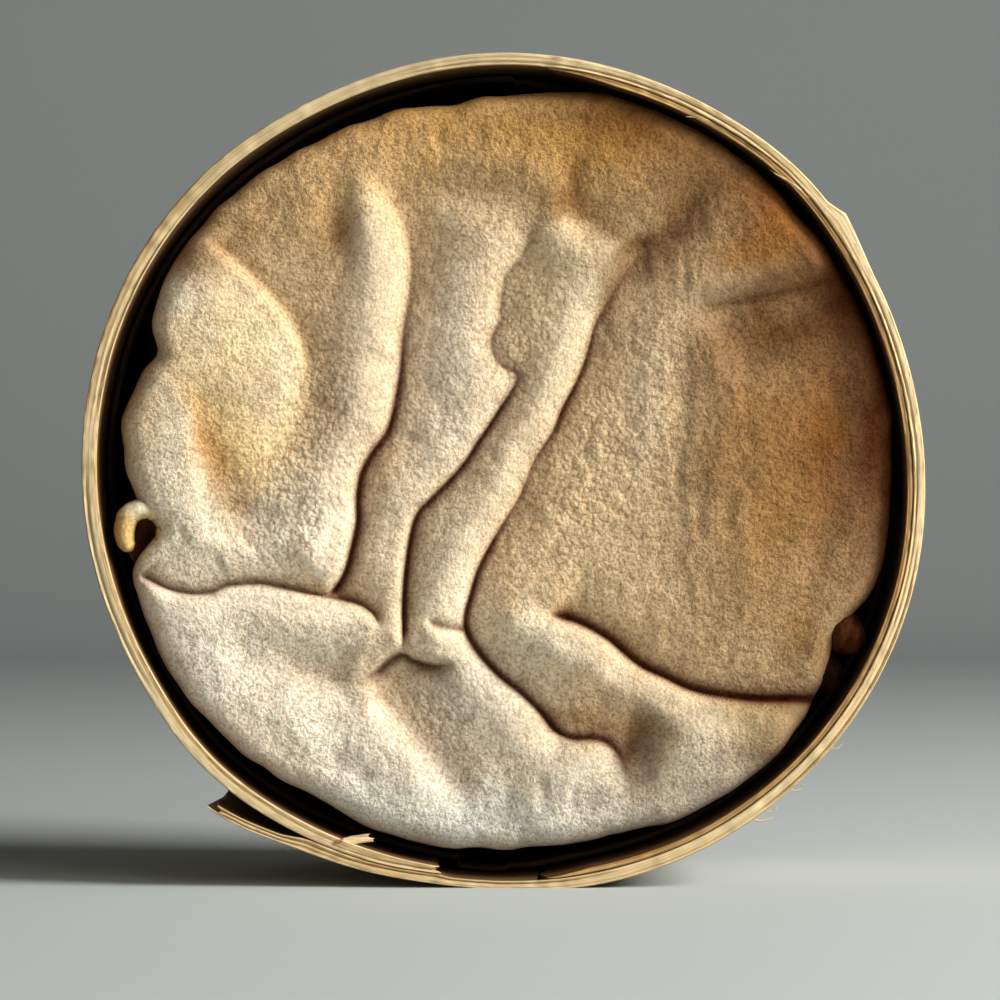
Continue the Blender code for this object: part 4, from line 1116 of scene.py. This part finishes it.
def makeWood(name, light, dark):
    m = Nodes(name)
    grain = m.attribute("grainPlace", "Vector")
    lines = m.noiseValue(m.stretched(grain, *wood["lineScale"]), 1.0, 4.0, 0.65)
    broad = m.noiseValue(m.stretched(grain, *wood["broadScale"]), 1.0, 2.0, 0.5)
    colour = m.ramp(lines, [(0.36, tuple(fromHex(dark))), (0.60, tuple(fromHex(light)))])
    share = m.number("MULTIPLY", broad, 0.5)
    colour = m.mixColour(share, colour, (*fromHex(wood["broadTint"]), 1.0))
    colour = m.mixColour(1.0, colour, m.attribute("woodTint"), "MULTIPLY")
    return m.surface(colour, 0.6, 0.35, m.bump(lines, 0.6))


def sweepBand(name, degrees, inner, outer, innerBack, outerBack, front, back, rows, edgeRows, made,
              tints, closed=False, edge=None, ragged=(0.0, 0.0)):
    # a strip whose section is swept along: inner side, back edge, outer side and front edge.
    # edge gives the front edge's relief and its tint for each place along and across, tints are
    # those of the inner side, outer side and front edge, and ragged is how torn its two ends are
    steps = len(degrees)
    along = np.concatenate([[0.0], np.cumsum(np.abs(np.diff(np.radians(degrees))) * outer[1:])])
    shares = np.insert(np.linspace(0.0, 1.0, rows), 1, 0.008)
    section = [(0.0, share) for share in shares]
    section += [(1.0, share) for share in shares[::-1]]
    section += [(across, 0.0) for across in np.linspace(1.0, 0.0, edgeRows + 2)[1:-1]]
    verts, grain, paint = [], [], []
    for across, share in section:
        here, there = inner + (outer - inner) * across, innerBack + (outerBack - innerBack) * across
        radius = here * (1 - share) + there * share
        onEdge = share == 0.0
        corner = 0.09 if across in (0.0, 1.0) and share in (0.0, 1.0) else 0.0
        depth = front * (1 - share) + back * share + (corner if onEdge else -corner)
        radius = radius + corner * (1.0 - 2.0 * across)
        tint = tints[0] if across == 0.0 else tints[1]
        shade = np.broadcast_to(tint, (steps, 3)).copy()
        if onEdge:
            relief, tinted = edge(along, across) if edge else (0.0, 1.0)
            depth = depth + relief
            shade = np.broadcast_to(tints[2], (steps, 3)) * np.reshape(tinted, (-1, 1))
        turned = np.radians(degrees)
        if ragged[0]:
            torn = noise(np.array([across * 3.7]), np.array([share * 9.0]), 0.7, 87)[0]
            turned = turned - np.radians(ragged[0] * torn) * np.exp(-along / 1.2)
        if ragged[1]:
            torn = noise(np.array([across * 3.1 + 7]), np.array([share * 11.0]), 0.8, 88)[0]
            turned = turned + np.radians(ragged[1] * torn) * np.exp(-(along[-1] - along) / 1.2)
        height = np.maximum(radius * np.sin(turned), -case["centreHeight"])
        verts.append(np.stack([radius * np.cos(turned), np.broadcast_to(depth, (steps,)), height], -1))
        inside = np.full(steps, np.mean(outer - inner) * across)
        place = np.stack([along, np.broadcast_to(depth, (steps,)), inside], -1)
        grain.append(place * mm)
        paint.append(shade)
    size = len(section)
    count = steps - 1 if closed else steps
    points = np.stack([v[:count] for v in verts], 1).reshape(-1, 3)
    faces = ringFaces(size, count, closed)
    if not closed:
        faces += [list(range(size))[::-1], list(range((steps - 1) * size, steps * size))]
    piece = meshPiece(name, points, faces, made)
    addVector(piece, "grainPlace", np.stack([g[:count] for g in grain], 1).reshape(-1, 3))
    addColour(piece, "woodTint", np.stack([p[:count] for p in paint], 1).reshape(-1, 3))
    piece.data.set_sharp_from_angle(angle=math.radians(48.0))
    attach(piece, "root")
    return piece


def hoopEdge(along, across):
    # long splits between the layers of wood, in the front edge, and painted light and shade along it
    split = np.zeros(along.shape)
    for middle, wander, seed, length in ((0.32, 0.10, 84, 26.0), (0.66, 0.08, 85, 34.0)):
        place = middle + wander * noise(along, along * 0.0, 14.0, seed)
        gaping = smoothStep(0.5 + 1.6 * noise(along, along * 0.0, length, seed + 40))
        split = split + gaping * bell(across - place, 0.075)
    fibres = 0.05 * noise(along * 0.25, np.full(along.shape, across * 3.0), 0.33, 86)
    run = np.degrees(along / 59.5)
    # paler towards the right, where the key lamp falls, is painted light; darker at the upper left is
    # painted shade
    paleness = 1.0 + 0.14 * bell(turnedTo(run, 268.0), 50.0) - 0.10 * bell(turnedTo(run, 150.0), 45.0)
    return 0.30 * split + fibres, (1.0 - 0.42 * np.minimum(split, 1.0)) * paleness


def veneerEdge(along, across):
    # fine layers, without splits
    layers = noise(along * 0.06, np.full(along.shape, across * 2.6), 0.45, 93)
    return 0.12 * layers, 0.86 + 0.16 * layers


def makeHoop(made):
    run = np.linspace(0.0, strip["length"], strip["steps"] + 1)
    inner, outer = stripRadii(run)
    innerBack, outerBack = stripRadii(run, 1.0)
    degrees = strip["startAngle"] - run
    # split layers fill the inside of the kink
    inner = inner - np.where(onKink(run), kinkBulge(degrees), 0.0)
    # the outer turn lies tight on the inner one before its tail springs away
    under = stripRadii(np.maximum(run - 360.0, 0.0))[1] + 0.03
    (comes, comingSpan), (goes, goingSpan) = strip["tightFrom"], strip["tightTo"]
    tight = smoothStep((run - comes) / comingSpan) * (1.0 - smoothStep((run - goes) / goingSpan))
    inner = inner * (1.0 - tight) + np.minimum(under, inner) * tight
    rough = 0.10 * noise(run, run * 0.0, 1.6, 81) + 0.12 * noise(run, run * 0.0, 6.0, 82)
    front = -case["halfDepth"] + strip["frontInset"] + rough
    back = case["halfDepth"] - strip["backInset"] + 0.1 * noise(run, run * 0.0, 5.0, 83)
    # the inside tint is painted shade, the outside one partly painted shade
    tints = [np.array(wood["insideShadeTint"]), np.array(wood["outsideToneAndShade"]), np.array([1.06, 1.05, 1.02])]
    piece = sweepBand("hoopWood", degrees, inner, outer, innerBack, outerBack, front, back,
                      strip["rows"], strip["edgeRows"], made, tints, False, hoopEdge, (1.6, 1.2))
    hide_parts("hoop")


def makeVeneer(made):
    degrees = np.linspace(veneer["startAngle"], veneer["endAngle"], veneer["steps"] + 1)
    outer = innerWall(degrees) - 0.03
    inner = outer - veneerThickness(degrees)
    rough = 0.10 * noise(degrees, degrees * 0.0, 1.3, 91) + 0.15 * noise(degrees, degrees * 0.0, 7.0, 92)
    front = -case["halfDepth"] + veneer["frontInset"] + rough
    back = np.full(degrees.shape, case["halfDepth"] - veneer["backInset"])
    # the inside tint is painted shade
    tints = [np.array(wood["insideShadeTint"]), np.array([0.7, 0.6, 0.5]), np.array([1.0, 0.96, 0.9])]
    piece = sweepBand("innerVeneer", degrees, inner, outer, inner, outer, front, back,
                      veneer["rows"], veneer["edgeRows"], made, tints, False, veneerEdge, (1.5, 1.5))
    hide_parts("inner_ply")


slivers = [  # splinters of the case: points (x, z), depth behind the front edge, thickness
    ([(25.7, 50.4), (28.0, 50.2), (30.0, 49.3)], 0.6, 0.13),
    ([(38.2, 42.4), (40.8, 40.9), (43.6, 38.6)], 0.5, 0.20),
    ([(37.6, 42.9), (40.0, 41.6), (42.2, 40.0)], 0.9, 0.10),
    ([(34.4, -49.4), (36.4, -49.9), (38.3, -49.4)], 0.9, 0.12),
    ([(36.0, -48.2), (38.1, -48.6), (39.0, -47.6)], 1.4, 0.09),
    ([(40.0, -45.2), (41.6, -45.6), (42.8, -44.6)], 1.0, 0.10),
    ([(46.2, -39.4), (47.3, -39.6), (48.2, -38.6)], 0.8, 0.08),
]

chip = {  # a pale chip torn loose inside the lower left of the rim
    "middle": (-21.6, -52.6),
    "length": 5.2,
    "height": 1.15,
    "thickness": 0.28,
    "turn": 7.0,
    "behind": 0.55,
    "rows": 7,
    "steps": 26,
    "paleTint": (1.12, 1.13, 1.1),
    "rootTint": (0.5, 0.32, 0.25),
}


def paintWood(piece, tint, grain):
    addVector(piece, "grainPlace", grain * mm)
    addColour(piece, "woodTint", tint)


def makeSlivers(made):
    for number, (line, behind, size) in enumerate(slivers, 1):
        verts, faces = roundedTube(line, [size * 0.3, size, size, size * 0.25],
                                   -case["halfDepth"] + behind, 1.6, 8)
        piece = meshPiece("sliver%d" % number, verts, faces, made)
        paintWood(piece, np.ones((len(verts), 3)) * 1.05, verts)
        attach(piece, "root")


def chipFaces(rows, steps):
    # a thin block: a front and a back of rows by steps, and the four sides between them
    def at(face, row, step):
        return (face * rows + row) * steps + step

    faces = []
    last, end = rows - 1, steps - 1
    for row in range(last):
        for step in range(end):
            faces.append((at(0, row, step), at(0, row + 1, step),
                          at(0, row + 1, step + 1), at(0, row, step + 1)))
            faces.append((at(1, row, step), at(1, row, step + 1),
                          at(1, row + 1, step + 1), at(1, row + 1, step)))
    for step in range(end):
        faces.append((at(0, 0, step), at(0, 0, step + 1), at(1, 0, step + 1), at(1, 0, step)))
        faces.append((at(0, last, step), at(1, last, step), at(1, last, step + 1), at(0, last, step + 1)))
    for row in range(last):
        faces.append((at(0, row, 0), at(1, row, 0), at(1, row + 1, 0), at(0, row + 1, 0)))
        faces.append((at(0, row, end), at(0, row + 1, end), at(1, row + 1, end), at(1, row, end)))
    return faces


def makeChip(made):
    rows, steps = chip["rows"], chip["steps"]
    middleX, middleZ = chip["middle"]
    a = math.radians(chip["turn"])
    verts, tint = [], []
    for face in (0, 1):
        for row in range(rows):
            across = row / (rows - 1) - 0.5
            torn = 0.75 * noise(np.array([row * 1.0]), np.array([3.0]), 1.1, 89)[0]
            for step in range(steps):
                share = step / (steps - 1)
                x = (share - 0.5) * chip["length"] + torn * share ** 3
                z = across * chip["height"] * (0.45 + 0.55 * smoothStep(share / 0.5))
                uneven = 0.1 * noise(np.array([x * 0.5]), np.array([row * 1.0]), 0.9, 90)[0]
                thick = chip["thickness"] + uneven
                depth = chip["behind"] - case["halfDepth"] + (thick if face else -thick) + 0.5 * share
                verts.append((middleX + x * math.cos(a) - z * math.sin(a), depth,
                              middleZ + x * math.sin(a) + z * math.cos(a)))
                tint.append(chip["paleTint"] if share > 0.22 else chip["rootTint"])
    piece = meshPiece("rimChip", verts, chipFaces(rows, steps), made, False)
    paintWood(piece, np.array(tint), np.array(verts))
    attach(piece, "root")


strap = {
    "thickness": 0.8,
    "front": -11.8,
    "back": 21.2,
    "steps": 720,
    "rows": 8,
    # near-black bark: partly the strap's dark bark, partly painted shade of the deep gap
    "tints": [(0.3, (0.010, 0.006, 0.004)), (0.7, (0.075, 0.042, 0.022))],
}

board = {
    "radiusShort": 0.5,
    "rings": 40,
    "steps": 360,
    "palePlank": "e0c391",
    "darkPlank": "b98a50",
    "fibreTints": [(0.3, (0.8, 0.76, 0.7)), (0.65, (1.05, 1.05, 1.04))],
}


def makeStrap():
    # the thin band that holds the cheese's side, deep in the gap, painted near black as shade of the gap
    m = Nodes("bark")
    grain = m.attribute("grainPlace", "Vector")
    lines = m.noiseValue(m.stretched(grain, 90.0, 1400.0, 1400.0), 1.0, 3.0, 0.6)
    made = m.surface(m.ramp(lines, strap["tints"]), 0.8, 0.2, m.bump(lines, 0.5))
    degrees = np.linspace(0.0, 360.0, strap["steps"] + 1)
    outer = strapOuter(degrees) + 0.02
    inner = outer - strap["thickness"]
    rough = 0.25 * noise(np.cos(np.radians(degrees)) * 40, np.sin(np.radians(degrees)) * 40, 2.0, 95)
    front = strap["front"] + rough
    back = np.full(degrees.shape, strap["back"])
    tints = [np.ones(3)] * 3
    piece = sweepBand("barkStrap", degrees, inner, outer, inner, outer, front, back,
                      strap["rows"], 2, made, tints, closed=True)
    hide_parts("bark_strap")


def makeBoard():
    # the round base of the case, of one thin plank, seen from behind
    m = Nodes("boardWood")
    grain = m.attribute("grainPlace", "Vector")
    warp = m.noiseValue(m.stretched(grain, 20.0, 60.0, 20.0), 1.0, 2.0, 0.5)
    bent = m.bent(grain, warp, (0.0, 0.0, 0.006))
    rings = m.noiseValue(m.stretched(bent, 2.0, 60.0, 240.0), 1.0, 2.0, 0.5)
    fibres = m.noiseValue(m.stretched(grain, 25.0, 900.0, 1500.0), 1.0, 3.0, 0.6)
    pale, dark = tuple(fromHex(board["palePlank"])), tuple(fromHex(board["darkPlank"]))
    planks = m.ramp(rings, [(0.35, pale), (0.62, dark)])
    colour = m.mixColour(1.0, planks, m.ramp(fibres, board["fibreTints"]), "MULTIPLY")
    made = m.surface(colour, 0.65, 0.3, m.bump(fibres, 0.4))
    degrees = np.linspace(0.0, 360.0, board["steps"], endpoint=False)
    edge = clearAt(degrees) - board["radiusShort"]
    back = case["halfDepth"] - case["boardInset"]
    front = back - case["boardThickness"]
    verts = []
    shares = np.linspace(1.0 / board["rings"], 1.0, board["rings"])
    levels = [(share, back) for share in shares[:-1]] + [(1.0 - 0.006, back), (1.0, back - 0.3)]
    levels += [(1.0, front + 0.3), (1.0 - 0.006, front)] + [(share, front) for share in shares[-2::-3]]
    for share, depth in levels:
        x, z = edge * share * np.cos(np.radians(degrees)), edge * share * np.sin(np.radians(degrees))
        dent = 0.05 * noise(x * 0.15, z, 2.2, 97) * (share < 0.99)
        verts.append(np.stack([x, depth + dent * (1 if depth > front + 1 else -1), z], -1))
    count = board["steps"]
    faces = ringFaces(count, len(levels))
    points = np.vstack(verts + [np.array([[0.0, back, 0.0], [0.0, front, 0.0]])])
    middle = len(points) - 2
    last = (len(levels) - 1) * count
    faces += [[middle, (j + 1) % count, j] for j in range(count)]
    faces += [[middle + 1, last + j, last + (j + 1) % count] for j in range(count)]
    piece = meshPiece("caseBoard", points, faces, made)
    piece.data.set_sharp_from_angle(angle=math.radians(50.0))
    addVector(piece, "grainPlace", points * mm)
    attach(piece, "root")
    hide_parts("base_board")


freshWood = makeWood("spruce", *wood["fresh"])
makeHoop(freshWood)
makeVeneer(makeWood("spruceInner", *wood["inner"]))
makeSlivers(freshWood)
makeChip(freshWood)
makeStrap()
makeBoard()
print("case made")

# The stage: a pale floor that sweeps up behind, and soft light from the right

stage = {
    "floorColour": "b6bfc3",
    "floorWidth": 3.0,
    "floorFront": -1.6,
    "sweepStart": 0.9,
    "sweepRadius": 0.5,
    "sweepTop": 2.0,
    "sweepSteps": 16,
}


def makeStage():
    half = stage["floorWidth"] / 2
    start, radius, steps = stage["sweepStart"], stage["sweepRadius"], stage["sweepSteps"]
    profile = [(stage["floorFront"], 0.0), (start, 0.0)]
    for step in range(1, steps + 1):
        angle = math.pi / 2 * step / steps
        profile.append((start + radius * math.sin(angle), radius * (1 - math.cos(angle))))
    profile.append((start + radius, stage["sweepTop"]))
    verts = [(side * half, y, z) for y, z in profile for side in (-1, 1)]
    faces = [(2 * k, 2 * k + 1, 2 * k + 3, 2 * k + 2) for k in range(len(profile) - 1)]
    mesh = bpy.data.meshes.new("floor")
    mesh.from_pydata(verts, [], faces)
    floor = bpy.data.objects.new("floor", mesh)
    bpy.context.scene.collection.objects.link(floor)
    mesh.shade_smooth()
    mesh.materials.append(Nodes("floor").surface((*fromHex(stage["floorColour"]), 1.0), 0.9, 0.1))


lamps = {  # azimuth from the front to the right, elevation, distance, size, watts, colour
    "key": (70.0, 30.0, 0.95, 0.40, 15.0, "fffaf0"),
    "soft": (38.0, 26.0, 1.30, 0.80, 4.8, "fff8ee"),
    "fill": (-50.0, -3.0, 1.10, 0.80, 0.8, "ffdfbd"),
}

room = {
    "colour": "efe4d6",
    "strength": 0.07,
}


def makeLamps():
    middle = Vector((0.0, -0.02, 0.06))
    for name, (azimuth, elevation, distance, size, watts, colour) in lamps.items():
        a, e = math.radians(azimuth), math.radians(elevation)
        direction = Vector((math.sin(a) * math.cos(e), -math.cos(a) * math.cos(e), math.sin(e)))
        lampData = bpy.data.lights.new(name, "AREA")
        lampData.shape = "SQUARE"
        lampData.size = size
        lampData.energy = watts
        lampData.color = fromHex(colour)
        lamp = bpy.data.objects.new(name, lampData)
        lamp.location = middle + direction * distance
        lamp.rotation_euler = direction.to_track_quat("Z", "Y").to_euler()
        bpy.context.scene.collection.objects.link(lamp)
    bpy.context.scene.view_settings.view_transform = "Standard"
    world = bpy.data.worlds.new("world")
    world.use_nodes = True
    background = world.node_tree.nodes["Background"]
    background.inputs["Color"].default_value = (*fromHex(room["colour"]), 1.0)
    background.inputs["Strength"].default_value = room["strength"]
    bpy.context.scene.world = world


makeStage()
makeLamps()
print("stage lit")
